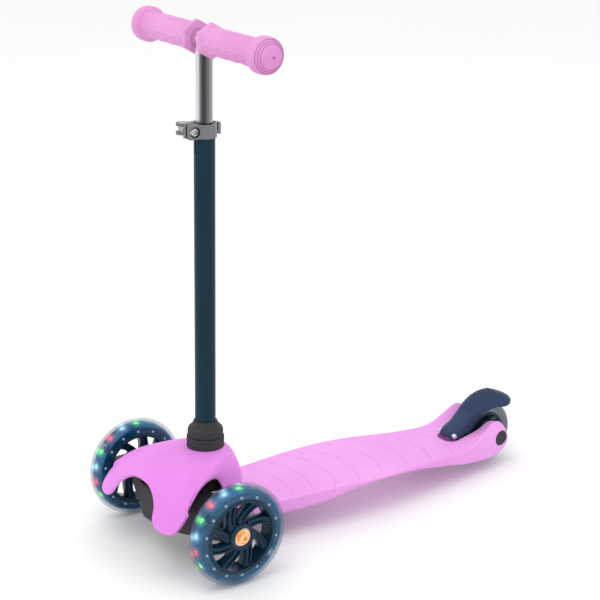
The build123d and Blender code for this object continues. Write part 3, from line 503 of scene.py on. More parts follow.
class Skin:
    """Points and faces of one piece, in millimetres."""

    def __init__(self) -> None:
        """Start with nothing."""
        self.points: list[np.ndarray] = []
        self.faces: list[tuple[int, ...]] = []
        self.paints: list[int] = []
        self.total = 0

    def loft(self, rings: np.ndarray, caps: bool = True, loop: bool = False, paint: int = 0) -> Skin:
        """Join closed rings of points by quads.

        Args:
            rings: Array of rings, points and coordinates.
            caps: Whether the first and last ring are closed.
            loop: Whether the last ring joins the first.
            paint: Material index of the faces.

        Returns:
            This skin.
        """
        rings = np.asarray(rings, float)
        rows, columns = rings.shape[:2]
        base = self.total
        self.points.append(rings.reshape(-1, 3))
        self.total += rows * columns
        before = len(self.faces)
        for i in range(rows if loop else rows - 1):
            here, there = base + i * columns, base + (i + 1) % rows * columns
            for j in range(columns):
                k = (j + 1) % columns
                self.faces.append((here + j, here + k, there + k, there + j))
        if caps and not loop:
            self.faces.append(tuple(base + j for j in reversed(range(columns))))
            self.faces.append(tuple(base + (rows - 1) * columns + j for j in range(columns)))
        self.paints += [paint] * (len(self.faces) - before)
        return self

    def turn(
        self, axis: Matrix, profile: Sequence[Point], steps: int = 96, hollow: bool = True, paint: int = 0,
    ) -> Skin:
        """Turn a profile of (along, radius) points about an axis.

        Args:
            axis: Placement whose local Z is the axis, in millimetres.
            profile: Outline; a hollow one is closed and never meets the axis.
            steps: Number of steps round the axis.
            hollow: Whether the profile closes on itself.
            paint: Material index of the faces.

        Returns:
            This skin.
        """
        outline = np.asarray(profile, float)
        angles = np.arange(steps) * math.tau / steps
        rings = np.stack(
            [
                np.stack([radius * np.cos(angles), radius * np.sin(angles), np.full(steps, along)], axis=1)
                for along, radius in outline
            ]
        )
        turned = rings.reshape(-1, 3) @ np.array(axis.to_3x3()).T + np.array(axis.translation)
        return self.loft(turned.reshape(rings.shape), caps=not hollow, loop=hollow, paint=paint)

    def made(self, name: str, sharp: float = 35.0) -> bpy.types.Object:
        """Make the object, with outward faces and smooth shading up to an angle in degrees."""
        mesh = bpy.data.meshes.new(name)
        mesh.from_pydata(np.vstack(self.points) * MM, [], self.faces)
        mesh.polygons.foreach_set("material_index", self.paints)
        work = bmesh.new()
        work.from_mesh(mesh)
        bmesh.ops.remove_doubles(work, verts=work.verts, dist=1e-6)
        bmesh.ops.recalc_face_normals(work, faces=work.faces)
        work.to_mesh(mesh)
        work.free()
        mesh.shade_smooth()
        mesh.set_sharp_from_angle(angle=math.radians(sharp))
        made = bpy.data.objects.new(name, mesh)
        bpy.context.scene.collection.objects.link(made)
        return made


def along_axis(centre: Sequence[float], direction: Sequence[float]) -> Matrix:
    """Placement with its local Z along a direction, in millimetres."""
    turn = Vector((0, 0, 1)).rotation_difference(Vector(direction)).to_matrix().to_4x4()
    return Matrix.Translation(Vector(centre)) @ turn


def settled(made: bpy.types.Object, sharp: float = 35.0) -> bpy.types.Object:
    """Apply an object's modifiers and shade it again."""
    bpy.context.view_layer.update()
    graph = bpy.context.evaluated_depsgraph_get()
    mesh = bpy.data.meshes.new_from_object(made.evaluated_get(graph))
    made.modifiers.clear()
    made.data = mesh
    mesh.shade_smooth()
    mesh.set_sharp_from_angle(angle=math.radians(sharp))
    return made


def carved(
    made: bpy.types.Object, cutters: Sequence[bpy.types.Object], sharp: float = 35.0,
) -> bpy.types.Object:
    """Cut other objects out of one, and remove them."""
    for cutter in cutters:
        step = made.modifiers.new("cut", "BOOLEAN")
        step.operation = "DIFFERENCE"
        step.solver = "EXACT"
        step.object = cutter
    settled(made, sharp)
    for cutter in cutters:
        bpy.data.objects.remove(cutter)
    return made


def block(name: str, low: Sequence[float], high: Sequence[float], corner: float = 0.0) -> bpy.types.Object:
    """Box between two corners in millimetres, with its upright edges rounded."""
    steps = 8 if corner else 1
    outline = []
    for index, (sx, sy) in enumerate(((1, 1), (-1, 1), (-1, -1), (1, -1))):
        cx = (high[0] - corner) if sx > 0 else (low[0] + corner)
        cy = (high[1] - corner) if sy > 0 else (low[1] + corner)
        for step in range(steps):
            angle = math.pi / 2 * (index + (step / (steps - 1) if corner else 0.5))
            outline.append((cx + corner * math.cos(angle), cy + corner * math.sin(angle)))
    rings = [[(x, y, z) for x, y in outline] for z in (low[2], high[2])]
    return Skin().loft(np.array(rings)).made(name)


def fit(
    made: bpy.types.Object, body: str, finishes: Sequence, *nodes: str
) -> bpy.types.Object:
    """Dress a piece, put it on its body and name the frame nodes that it stands for.

    Args:
        made: The piece.
        body: Body that it rides on.
        finishes: Finishes of its material slots.
        nodes: Nodes that it replaces.

    Returns:
        The piece.
    """
    for finish in finishes:
        made.data.materials.append(finish.material())
    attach(made, body)
    if nodes:
        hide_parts(*nodes)
    LOG.info("%s: %d faces, rides on %s", made.name, len(made.data.polygons), body)
    return made


# ---------------------------------------------------------------- places taken from the frame
@dataclass(frozen=True)
class Datum:
    """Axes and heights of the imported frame, in millimetres."""

    front_y: float
    rear_y: float
    front_z: float
    rear_z: float
    track: float
    column_foot: tuple[float, float, float]
    column_up: tuple[float, float, float]
    bar: tuple[float, float, float]

    @staticmethod
    def read(frame: dict) -> Datum:
        """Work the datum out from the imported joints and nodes.


        Returns:
            The datum.
        """
        joints = {joint["name"]: joint for joint in frame["joints"]}
        wheel = [v / MM for v in joints["front_wheel_left_spin"]["pos_m"]]
        rear = [v / MM for v in joints["rear_wheel_spin"]["pos_m"]]
        up = tuple(joints["handlebar_height"]["axis"])
        low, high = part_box("crossbar")
        bar = tuple((low + high) / 2 / MM)
        foot = tuple(b - bar[2] / up[2] * u for b, u in zip(bar, up))
        return Datum(wheel[1], rear[1], wheel[2], rear[2], 2 * wheel[0], foot, up, bar)

    def column(self, height: float) -> tuple[float, float, float]:
        """Point on the column's centre line at a height."""
        along = height / self.column_up[2]
        return tuple(f + along * u for f, u in zip(self.column_foot, self.column_up))


# ---------------------------------------------------------------- deck
@dataclass
class Deck:
    """Moulded deck: crowned footboard with arched grooves, thin skirts and two ears for the rear wheel."""

    datum: Datum
    front: float = -153.0
    ear_start: float = 165.0
    slot_front: float = 171.5
    slot_half: float = 17.0
    slot_corner: float = 13.0
    wall: float = 3.5
    crease: float = 1.6
    draft: float = 1.5
    groove_depth: float = 0.55
    groove_width: float = 1.5
    top: Sequence[Point] = (
        (-153, 51.6), (-90, 51.2), (-30, 51.1), (15, 50.0), (45, 48.8), (75, 46.9), (105, 44.7),
        (135, 42.4), (165, 41.1),
    )
    half_width: Sequence[Point] = (
        (-153, 52.8), (-90, 56.6), (-60, 59.6), (-30, 62.3), (0, 64.0), (15, 64.3), (45, 63.4),
        (75, 60.5), (105, 56.0), (135, 51.9), (165, 48.9),
    )
    skirt: Sequence[Point] = (
        (-153, 33.5), (-121, 34.0), (-58, 36.0), (-30, 40.5), (-8, 44.6), (20, 46.0), (55, 44.6),
        (90, 40.0), (128, 32.0), (165, 24.5),
    )
    grooves: Sequence[tuple[float, float]] = (
        (-97, 13), (-71, 16), (-41, 19), (-8, 22), (26, 25), (66, 25), (112, 20), (152, 14),
    )
    outer_top: Sequence[Point] = (
        (165, 41.1), (180, 42.2), (193, 45.8), (206, 53.6), (216, 60.2), (222, 64.2), (228, 65.8),
        (235, 63.6),
        (244, 55.5), (251, 44.5), (253.5, 35.5),
    )
    outer_bottom: Sequence[Point] = (
        (165, 24.5), (193, 20.3), (214, 18.2), (236, 19.6), (248.5, 26.5), (253.5, 35.5),
    )
    inner_top: Sequence[Point] = (
        (165, 41.1), (180, 41.6), (196, 44.6), (211, 47.6), (223, 51.6), (231, 55.6), (241, 56.2),
        (251, 51.5),
        (258, 45.0), (260, 39.0),
    )

    def section(self, y: float, bend: float, dip: float) -> list[tuple[float, float, float]]:
        """Closed outline of the footboard at one station.

        Args:
            y: Station at the deck's sides.
            bend: How far the station's middle lies behind its ends.
            dip: Depth of a groove at this station.

        Returns:
            Points round the section.
        """
        top, width = curve(self.top), curve(self.half_width)
        half = float(width(y))
        low = float(curve(self.skirt)(y))
        high = float(top(y))
        points = []
        for share in np.linspace(-1, 1, 33):
            x = share * (half - self.crease)
            at = y + bend * (1 - share * share)
            fade = min(1.0, (1 - abs(share)) / 0.04)
            points.append((x, at, float(top(at)) - dip * fade))
        for angle in (72, 54, 36, 18, 0):
            turn = math.radians(angle)
            points.append(
                (
                    half - self.crease + self.crease * math.cos(turn), y,
                    high - self.crease + self.crease * math.sin(turn),
                )
            )
        for share in (0.5, 0.94, 1.0):
            points.append(
                (half - self.draft * share - (0.5 if share == 1.0 else 0), y, high + (low - high) * share)
            )
        inside = half - self.draft - self.wall
        points += [(inside + 0.4, y, low), (inside, y, low + 0.3)]
        mirrored = [(-x, at, z) for x, at, z in reversed(points[33:])]
        return points + mirrored

    def footboard_rings(self) -> np.ndarray:
        """Sections of the footboard, closer together at the grooves."""
        bends = curve(
            [
                (self.front - 5, 0.0), (self.front, 0.0), *self.grooves, (self.ear_start, 8.0),
                (self.ear_start + 5, 0.0),
            ]
        )
        stations = {float(y): 0.0 for y in np.linspace(self.front, self.ear_start, 60)}
        for y, _ in self.grooves:
            stations = {k: v for k, v in stations.items() if abs(k - y) > self.groove_width}
            for offset, share in (
                (-1.0, 0.0), (-0.6, 0.35), (-0.25, 0.95), (0.25, 0.95), (0.6, 0.35), (1.0, 0.0),
            ):
                stations[y + offset * self.groove_width / 2] = share * self.groove_depth
        rings = []
        for y in sorted(stations):
            fade = min(1.0, max(0.0, (self.ear_start - y) / 12.0)) * min(1.0, (y - self.front) / 12.0)
            rings.append(self.section(y, float(bends(y)) * fade, stations[y]))
        return np.array(rings)

    def ear_rings(self) -> np.ndarray:
        """Sections from the footboard's end to the tips of the ears."""
        count = 48
        share = np.linspace(0, 1, count)
        share = np.sin(share * math.pi / 2) * 0.35 + share * 0.65
        paths = []
        for path in (self.outer_top, self.outer_bottom, self.inner_top):
            dense = smooth(path, 300)
            run = np.concatenate([[0], np.cumsum(np.linalg.norm(np.diff(dense, axis=0), axis=1))])
            paths.append(np.stack([np.interp(share * run[-1], run, dense[:, i]) for i in (0, 1)], axis=1))
        half = curve([(165, 48.9), (195, 45.2), (220, 41.4), (239, 38.4), (254, 36.0)])
        rings = []
        for outer_high, outer_low, inner_high in zip(*paths):
            width = float(half(outer_high[0]))
            crease = min(self.crease, max(0.05, (outer_high[1] - outer_low[1]) / 2.2))
            points = []
            for step in np.linspace(-1, 1, 33):
                x = step * (width - crease)
                mix = min(1.0, max(0.0, (abs(x) - self.slot_half) / (width - crease - self.slot_half)))
                mix = mix * mix * (2.2 - 1.2 * mix)
                at = inner_high * (1 - mix) + outer_high * mix
                points.append((x, at[0], at[1]))
            for angle in (72, 54, 36, 18, 0):
                turn = math.radians(angle)
                points.append((
                    width - crease + crease * math.cos(turn), outer_high[0],
                    outer_high[1] - crease + crease * math.sin(turn),
                ))
            down = outer_low - outer_high
            for part in (0.5, 0.94, 1.0):
                at = outer_high + down * part
                points.append((width - (0.5 if part == 1.0 else 0), at[0], max(at[1], outer_low[1])))
            points += [(width - 5, outer_low[0], outer_low[1]), (width - 5.5, outer_low[0], outer_low[1])]
            mirrored = [(-x, y, z) for x, y, z in reversed(points[33:])]
            rings.append(points + mirrored)
        return np.array(rings)

    def pockets(self) -> list[bpy.types.Object]:
        """Cutters for the open underside, which leave the stiffening ribs."""
        top, width = curve(self.top), curve(self.half_width)
        made = []
        breaks = (self.front - 2, self.front + 59, -30, 32, 94, self.slot_front - 6)
        for row, (start, end) in enumerate(zip(breaks, breaks[1:])):
            lanes = [(-1.0, 1.0)] if row == 0 else [(-1.0, -0.34), (-0.28, 0.28), (0.34, 1.0)]
            for lane, (left, right) in enumerate(lanes):
                rings = []
                for y in np.linspace(start + (self.wall / 2 if row else 0), end - self.wall / 2, 14):
                    inside = float(width(y)) - self.wall - self.draft
                    ceiling = float(top(y)) - self.wall
                    low, high = left * inside, right * inside
                    rings.append([(low, y, 5), (high, y, 5), (high, y, ceiling), (low, y, ceiling)])
                made.append(Skin().loft(np.array(rings)).made(f"pocket_{row}_{lane}"))
        return made

    def build(self) -> None:
        """Make the deck and dress it."""
        rings = np.vstack([self.footboard_rings(), self.ear_rings()[1:]])
        deck = Skin().loft(rings).made("footboard", 40)
        slot = block(
            "slot", (-self.slot_half, self.slot_front, -10), (
                self.slot_half, self.slot_front + 150, 110,
            ), self.slot_corner
        )
        axle = self.datum.rear_y, self.datum.rear_z
        recess = []
        for sign in (-1, 1):
            place = along_axis((sign * 38.4, *axle), (sign, 0, 0))
            recess.append(Skin().turn(place, [(-3.9, 10.2), (5, 10.2)], 48, hollow=False).made("recess"))
        carved(deck, [slot, *recess, *self.pockets()], 40)
        fit(deck, "frame", [PINK], "deck")


# ---------------------------------------------------------------- front cover
@dataclass
class Cover:
    """Draped hood over the front frame with two lobes in front and arches for the truck's arms."""

    datum: Datum
    wall: float = 3.0
    round_steps: int = 8
    down_steps: int = 34
    profiles: Sequence[Sequence[tuple[float, float, float]]] = (
        ((0, 7.6, 120.3), (0, -8, 119.3), (0, -26, 115.8), (0, -43, 109), (0, -57, 99.5)),
        ((8, 9.6, 120.3), (12, -7, 119.2), (15, -26, 115.2), (19, -44, 107), (22, -58, 96)),
        ((14, 13.2, 120.3), (22, -3, 118.6), (29, -24, 113.8), (36, -46, 100), (40, -64, 83)),
        ((18, 17.5, 120.3), (29, 0, 118), (41, -24, 111), (49, -50, 91), (47.5, -71, 68.5)),
        ((20.3, 21.5, 120.3), (34, 4, 117.6), (50, -22, 109.5), (62, -49, 90), (61, -71.3, 61.3)),
        ((21.6, 25, 120.3), (37, 8, 117.2), (56, -16, 108.5), (73, -42, 91), (80, -63.5, 64)),
        ((22.2, 28, 120.3), (39, 12, 116.6), (58, -10, 109), (74, -31, 98), (82.5, -50, 79)),
        ((22.3, 30, 120.3), (39.5, 17, 116.4), (56, 0, 110.2), (67, -18, 104), (75.5, -37, 91.5)),
        ((22, 33, 120.3), (39, 23, 116), (51, 11, 110.3), (58, 1, 107), (61.5, -8, 103.6)),
        ((21, 37, 120.3), (36.5, 31, 115.6), (45, 25, 107.5), (48.5, 20, 101.5), (49, 15, 98)),
        ((19, 41, 120.3), (32, 39, 114.8), (41, 36, 102.5), (44.5, 33, 88), (45, 29, 75)),
        ((16, 45, 120.3), (27, 47, 113.8), (37.5, 48.8, 99.5), (43.5, 47.6, 76), (45, 46, 52)),
        ((11, 49, 120.3), (18, 54.4, 113.3), (26.5, 58.4, 99.5), (32.5, 60, 76), (34, 60, 52)),
        ((5.5, 51.4, 120.3), (9, 58.5, 113.3), (12.5, 63.3, 99.5), (15, 64.8, 76), (15.5, 64.8, 52)),
        ((0, 52.2, 120.3), (0, 59.6, 113.3), (0, 64.6, 99.5), (0, 66.3, 76), (0, 66.3, 52)),
    )

    def build(self) -> None:
        """Make the cover and dress it."""
        half = [smooth(profile, self.down_steps) for profile in self.profiles]
        flip = np.array([-1.0, 1.0, 1.0])
        rounds = half + [profile * flip for profile in reversed(half[1:-1])]
        rounds = np.array(rounds)
        count = len(rounds) * self.round_steps
        rings = np.stack([smooth(rounds[:, i], count, loop=True) for i in range(self.down_steps)])
        rings[:, :, 1] += self.datum.front_y
        cover = Skin().loft(rings, caps=False).made("front_hood", 50)
        shell = cover.modifiers.new("wall", "SOLIDIFY")
        shell.thickness = self.wall * MM
        shell.offset = -1.0
        lip = cover.modifiers.new("lip", "BEVEL")
        lip.width = 0.9 * MM
        lip.segments = 3
        lip.limit_method = "ANGLE"
        lip.angle_limit = math.radians(45)
        settled(cover, 50)
        fit(cover, "frame", [COVER_PINK], "front_cover")


# ---------------------------------------------------------------- brake
@dataclass
class Brake:
    """Foot brake that arches over the rear wheel, with cross ribs where the heel presses."""

    datum: Datum
    half_width: float = 14.6
    knuckle_half: float = 11.4
    ribs: int = 11
    rib_start: float = 0.36
    rib_end: float = 0.74
    rib_height: float = 1.6
    crown: Sequence[Point] = (
        (-63, 46), (-61.5, 51.5), (-54.5, 56.5), (-45, 61.4), (-38, 67.6), (-31, 75), (-22.5, 82.4),
        (-11, 88.6),
        (4, 91.6), (19, 90.2), (31, 85.4), (39.5, 79.8), (42.5, 75),
    )
    edge: Sequence[Point] = (
        (-61, 43), (-53, 42), (-43, 45.5), (-33, 56), (-24, 62.5), (-14, 67.6), (2, 70.6), (14, 71.2),
        (26, 69.2),
        (36, 69.4), (40.5, 71),
    )

    def build(self) -> None:
        """Make the brake and dress it."""
        stations = 150
        crown, edge = smooth(self.crown, stations), smooth(self.edge, stations)
        around = 17
        rings = []
        for index, (high, low) in enumerate(zip(crown, edge)):
            share = index / (stations - 1)
            grow = min(1.0, share / 0.13)
            half = self.knuckle_half + (self.half_width - self.knuckle_half) * grow * grow * (3 - 2 * grow)
            half *= math.sqrt(1 - (0.86 * max(0.0, (share - 0.82) / 0.18)) ** 2)
            wave = 0.0
            if self.rib_start < share < self.rib_end:
                phase = (share - self.rib_start) / (self.rib_end - self.rib_start) * self.ribs
                wave = max(0.0, math.cos(math.tau * (phase - 0.5))) * self.rib_height
            span = high - low
            length = float(np.linalg.norm(span))
            up = span / length
            shoulder = min(10.5, 0.7 * length)
            ring = []
            for angle in np.linspace(0, math.pi, around):
                x = half * math.copysign(abs(math.cos(angle)) ** 0.74, math.cos(angle))
                rise = length - shoulder + shoulder * abs(math.sin(angle)) ** 0.84
                rise += wave * min(1.0, max(0.0, (0.9 * half - abs(x)) / 2.5))
                at = low + up * rise
                ring.append((x, at[0], at[1]))
            toe = low + up * min(1.0, length * 0.1)
            ring += [(-half, *toe), (-half + 1, *low), (half - 1, *low), (half, *toe)]
            rings.append(ring)
        rings = np.array(rings)
        rings[:, :, 1] += self.datum.rear_y
        brake = Skin().loft(rings).made("heel_brake", 42)
        wheel = along_axis((0, self.datum.rear_y + 1.5, self.datum.rear_z + 0.5), (1, 0, 0))
        hollow = [(-12.9, 39.6), (-8.0, 44.6), (8.0, 44.6), (12.9, 39.6)]
        channel = Skin().turn(wheel, hollow, 96, hollow=False).made("channel")
        pin_low, pin_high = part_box("brake_pin")
        pin = (pin_low + pin_high) / 2 / MM
        gap = Skin().turn(
            along_axis(pin, (1, 0, 0)), [(-4.9, 4.5), (4.9, 4.5)], 32, hollow=False,
        ).made("gap")
        bore = Skin().turn(
            along_axis(pin, (1, 0, 0)), [(-20, 2.1), (20, 2.1)], 32, hollow=False,
        ).made("bore")
        carved(brake, [channel, gap, bore], 42)
        fit(brake, "brake", [SLATE], "brake_fender")
        self.build_pin(pin)

    def build_pin(self, centre: Vector) -> None:
        """Make the hinge pin with a bright domed collar beside each knuckle."""
        skin = Skin()
        axis = along_axis(centre, (1, 0, 0))
        skin.turn(axis, [(-15.5, 1.9), (15.5, 1.9)], 32, hollow=False)
        for sign in (-1, 1):
            dome = [(11.7, 3.4), (13.2, 3.4), (14.4, 2.9), (15.3, 2.0)]
            skin.turn(axis, [(sign * along, radius) for along, radius in dome], 32, hollow=False)
        fit(skin.made("brake_hinge_pin"), "frame", [BRIGHT_STEEL], "brake_pin")


# ---------------------------------------------------------------- wheels
@dataclass
class Rim:
    """Moulded rim with swept spokes that each have a groove."""

    centre: tuple[float, float, float]
    half_width: float
    radius: float
    wall: float
    hub: float
    spokes: int
    sweep: float
    spoke_half: float
    spoke_face: float
    groove: float = 2.6
    bearing: float = 11.1
    recess: float = 2.4

    def skin(self) -> Skin:
        """Mesh of the rim."""
        axle = along_axis(self.centre, (1, 0, 0))
        half = self.half_width
        made = Skin()
        lip = 1.0
        made.turn(axle, [
            (-half + 1.6, self.radius - self.wall), (-half + 1, self.radius - self.wall + 0.6),
            (-half + 1, self.radius - lip),
            (-half + 1.6, self.radius), (half - 1.6, self.radius), (half - 1, self.radius - lip),
            (half - 1, self.radius - self.wall + 0.6), (half - 1.6, self.radius - self.wall),
        ])
        bore = self.bearing - 4
        seat = half - self.recess - 7
        made.turn(axle, [
            (-half + 0.8, self.bearing), (-half + 0.2, self.bearing + 0.6), (-half + 0.2, self.hub - 1.2),
            (-half + 1.2, self.hub), (half - 1.2, self.hub), (half - 0.2, self.hub - 1.2),
            (half - 0.2, self.bearing + 0.6), (half - 0.8, self.bearing),
            (seat, self.bearing), (seat, bore), (-seat, bore), (-seat, self.bearing),
        ], 64)
        for index in range(self.spokes):
            made.loft(self.spoke(math.tau * index / self.spokes))
        return made

    def spoke(self, start: float) -> np.ndarray:
        """Sections of one spoke that leaves the hub at an angle."""
        steps = 26
        inner, outer = self.hub - 1.5, self.radius - self.wall + 1.0
        rings = []
        share = np.linspace(0, 1, steps)
        radius = inner + (outer - inner) * share
        angle = start + math.radians(self.sweep) * share ** 0.75
        y, z = radius * np.cos(angle), radius * np.sin(angle)
        heading = np.arctan2(np.gradient(z), np.gradient(y))
        for s, py, pz, way in zip(share, y, z, heading):
            wide = self.spoke_half * (1.0 + 0.35 * (1 - s) ** 3 + 0.25 * s ** 6)
            face = self.spoke_face - 1.2 * math.sin(math.pi * s)
            deep = self.groove * min(
                1.0, max(0.0, math.sin(math.pi * min(1.0, max(0.0, (s - 0.04) / 0.92))) * 2.2),
            )
            slot = 1.5
            half = [(-wide, face - 1.4), (-wide + 0.9, face), (-slot - 0.7, face), (-slot, face - deep),
                    (slot, face - deep), (slot + 0.7, face), (wide - 0.9, face), (wide, face - 1.4)]
            outline = half + [(w, -x) for w, x in reversed(half)]
            normal = (-math.sin(way), math.cos(way))
            rings.append([
                (
                    self.centre[0] + x, self.centre[1] + py + normal[0] * w,
                    self.centre[2] + pz + normal[1] * w,
                )
                for w, x in outline
            ])
        return np.array(rings)


@dataclass
class FrontWheel:
    """Light-up front wheel: rim, blue core in four arcs, lamps and a clear tyre."""

    datum: Datum
    side: str
    sign: int
    radius: float = 60.0
    half_width: float = 12.0
    rim_radius: float = 44.0
    core_radius: float = 54.6
    core_half: float = 8.6
    gap_degrees: float = 10.0
    gap_start: float = 52.0
    lamp_count: int = 18
    lamp_start: float = 0.4
    lamp_radius: float = 54.4
    stud_count: int = 14
    lit_back: float = 0.2
    lit_foot: float = -0.5
    centre: tuple[float, float, float] = field(init=False)

    def __post_init__(self) -> None:
        """Place the wheel on its axle."""
        self.centre = (self.sign * self.datum.track / 2, self.datum.front_y, self.datum.front_z)

    def lamps(self) -> Lamps:
        """Lamps of this wheel, in metres for the materials."""
        return Lamps(
            tuple(v * MM for v in self.centre), self.lamp_count, self.lamp_radius * MM, 9.0 * MM,
            self.lamp_start,
        )

    def build(self) -> None:
        """Make the wheel's pieces and dress them."""
        body = f"front_wheel_{self.side}"
        rim = Rim(self.centre, self.half_width, self.rim_radius, 4.2, 15.5, 8, -34.0 * self.sign, 4.3, 7.6)
        fit(rim.skin().made(f"rim_{self.side}"), body, [RIM_NAVY], f"front_rim_{self.side}")
        self.build_core(body)
        self.build_lamps(body)
        self.build_tyre(body)

    def build_core(self, body: str) -> None:
        """Make the four arcs of the blue core, with a row of studs on each face."""
        skin = Skin()
        low, high, half = self.rim_radius + 0.15, self.core_radius, self.core_half
        outline = [
            (-half, low), (-half, high - 2.8), (-half + 1.6, high - 0.9), (-half + 4, high),
            (half - 4, high),
            (half - 1.6, high - 0.9), (half, high - 2.8), (half, low),
        ]
        for quarter in range(4):
            start = self.gap_start + 90 * quarter + self.gap_degrees / 2
            rings = []
            for degrees in np.linspace(start, start + 90 - self.gap_degrees, 30):
                turn = math.radians(degrees)
                rings.append([
                    (
                        self.centre[0] + along, self.centre[1] + out * math.cos(turn),
                        self.centre[2] + out * math.sin(turn),
                    )
                    for along, out in outline
                ])
            skin.loft(np.array(rings))
        fit(skin.made(f"light_core_{self.side}"), body, [LightCore(f"blue_core_{self.side}", self.lamps())],
            f"light_ring_{self.side}")
        studs = Skin()
        for index in range(self.stud_count):
            turn = math.tau * (index + 0.5) / self.stud_count
            for face in (-1, 1):
                spot = (
                    self.centre[0] + face * self.core_half,
                    self.centre[1] + 46.8 * math.cos(turn),
                    self.centre[2] + 46.8 * math.sin(turn),
                )
                dome = [(0.0, 1.7), (0.9, 1.5), (1.5, 0.9), (1.75, 0.2)]
                studs.turn(along_axis(spot, (face, 0, 0)), dome, 14, hollow=False)
        # Painted light: the studs are no lamps, yet their lens material gives them a faint emission.
        fit(
            studs.made(f"core_studs_{self.side}"), body,
            [LampGlass(f"stud_blue_painted_light_{self.side}", (0.25, 0.45, 0.6), 0.05)],
        )

    def build_lamps(self, body: str) -> None:
        """Make the lamps round the middle of the core, in three colours, lit on the leading side."""
        skin = Skin()
        for index in range(self.lamp_count):
            turn = math.tau * (index + self.lamp_start) / self.lamp_count
            out = (0.0, math.cos(turn), math.sin(turn))
            spot = tuple(c + self.lamp_radius * o for c, o in zip(self.centre, out))
            lens = [(-1.2, 2.7), (0.2, 2.7), (0.8, 2.1), (1.15, 1.1), (1.2, 0.2)]
            lit = out[1] < self.lit_back and out[2] > self.lit_foot
            skin.turn(along_axis(spot, out), lens, 18, hollow=False, paint=(index + 2) % 3 if lit else 3)
        glasses = [
            LampGlass("lamp_green", (0.30, 1.0, 0.10), 1.7),
            LampGlass("lamp_white", (0.55, 0.85, 1.0), 1.7),
            LampGlass("lamp_red", (1.0, 0.05, 0.06), 1.5),
            LampGlass("lamp_unlit", (0.10, 0.22, 0.32), 0.05),
        ]
        fit(skin.made(f"lamps_{self.side}"), body, glasses, f"leds_{self.side}")

    def build_tyre(self, body: str) -> None:
        """Make the clear tyre, hollow over the core."""
        half, out = self.half_width, self.radius
        crown = [
            (half * math.sin(a), out - 8.2 * (1 - math.cos(a)))
            for a in np.linspace(-math.pi / 2, math.pi / 2, 25)
        ]
        low, high, core = self.rim_radius + 0.1, self.core_radius + 1.9, self.core_half + 0.3
        inside = [
            (core, low), (core, high - 5), (core - 2.6, high - 1.5), (0, high), (-core + 2.6, high - 1.5),
            (-core, high - 5), (-core, low),
        ]
        profile = [
            (-half + 0.4, low + 1.2), (-half, low + 2.6), *crown, (half, low + 2.6),
            (half - 0.4, low + 1.2), (half - 1.6, low), *inside, (-half + 1.6, low),
        ]
        skin = Skin().turn(along_axis(self.centre, (1, 0, 0)), profile, 144)
        tyre = ClearTyre(f"clear_teal_tyre_{self.side}", self.lamps())
        fit(skin.made(f"tyre_{self.side}"), body, [tyre], f"front_tyre_{self.side}")


@dataclass
class RearWheel:
    """Small rear wheel with a clear dark tyre."""

    datum: Datum
    radius: float = 40.0
    half_width: float = 12.0
    rim_radius: float = 25.5

    def build(self) -> None:
        """Make the wheel's pieces and dress them."""
        centre = (0.0, self.datum.rear_y, self.datum.rear_z)
        rim = Rim(centre, self.half_width, self.rim_radius, 3.4, 15.5, 5, -20.0, 2.6, 7.0, groove=1.4)
        fit(rim.skin().made("rim_rear"), "rear_wheel", [RIM_NAVY], "rear_rim")
        half, out, low = self.half_width, self.radius, self.rim_radius + 0.1
        crown = [
            (half * math.sin(a), out - 7 * (1 - math.cos(a)))
            for a in np.linspace(-math.pi / 2, math.pi / 2, 21)
        ]
        profile = [
            (-half + 0.5, low + 1.2), (-half, low + 2.4), *crown, (half, low + 2.4),
            (half - 0.5, low + 1.2), (half - 1.6, low), (-half + 1.6, low),
        ]
        skin = Skin().turn(along_axis(centre, (1, 0, 0)), profile, 120)
        tyre = ClearTyre("clear_dark_tyre", None, (0.008, 0.07, 0.105), (0.004, 0.035, 0.06), 0.72)
        fit(skin.made("tyre_rear"), "rear_wheel", [tyre], "rear_tyre")


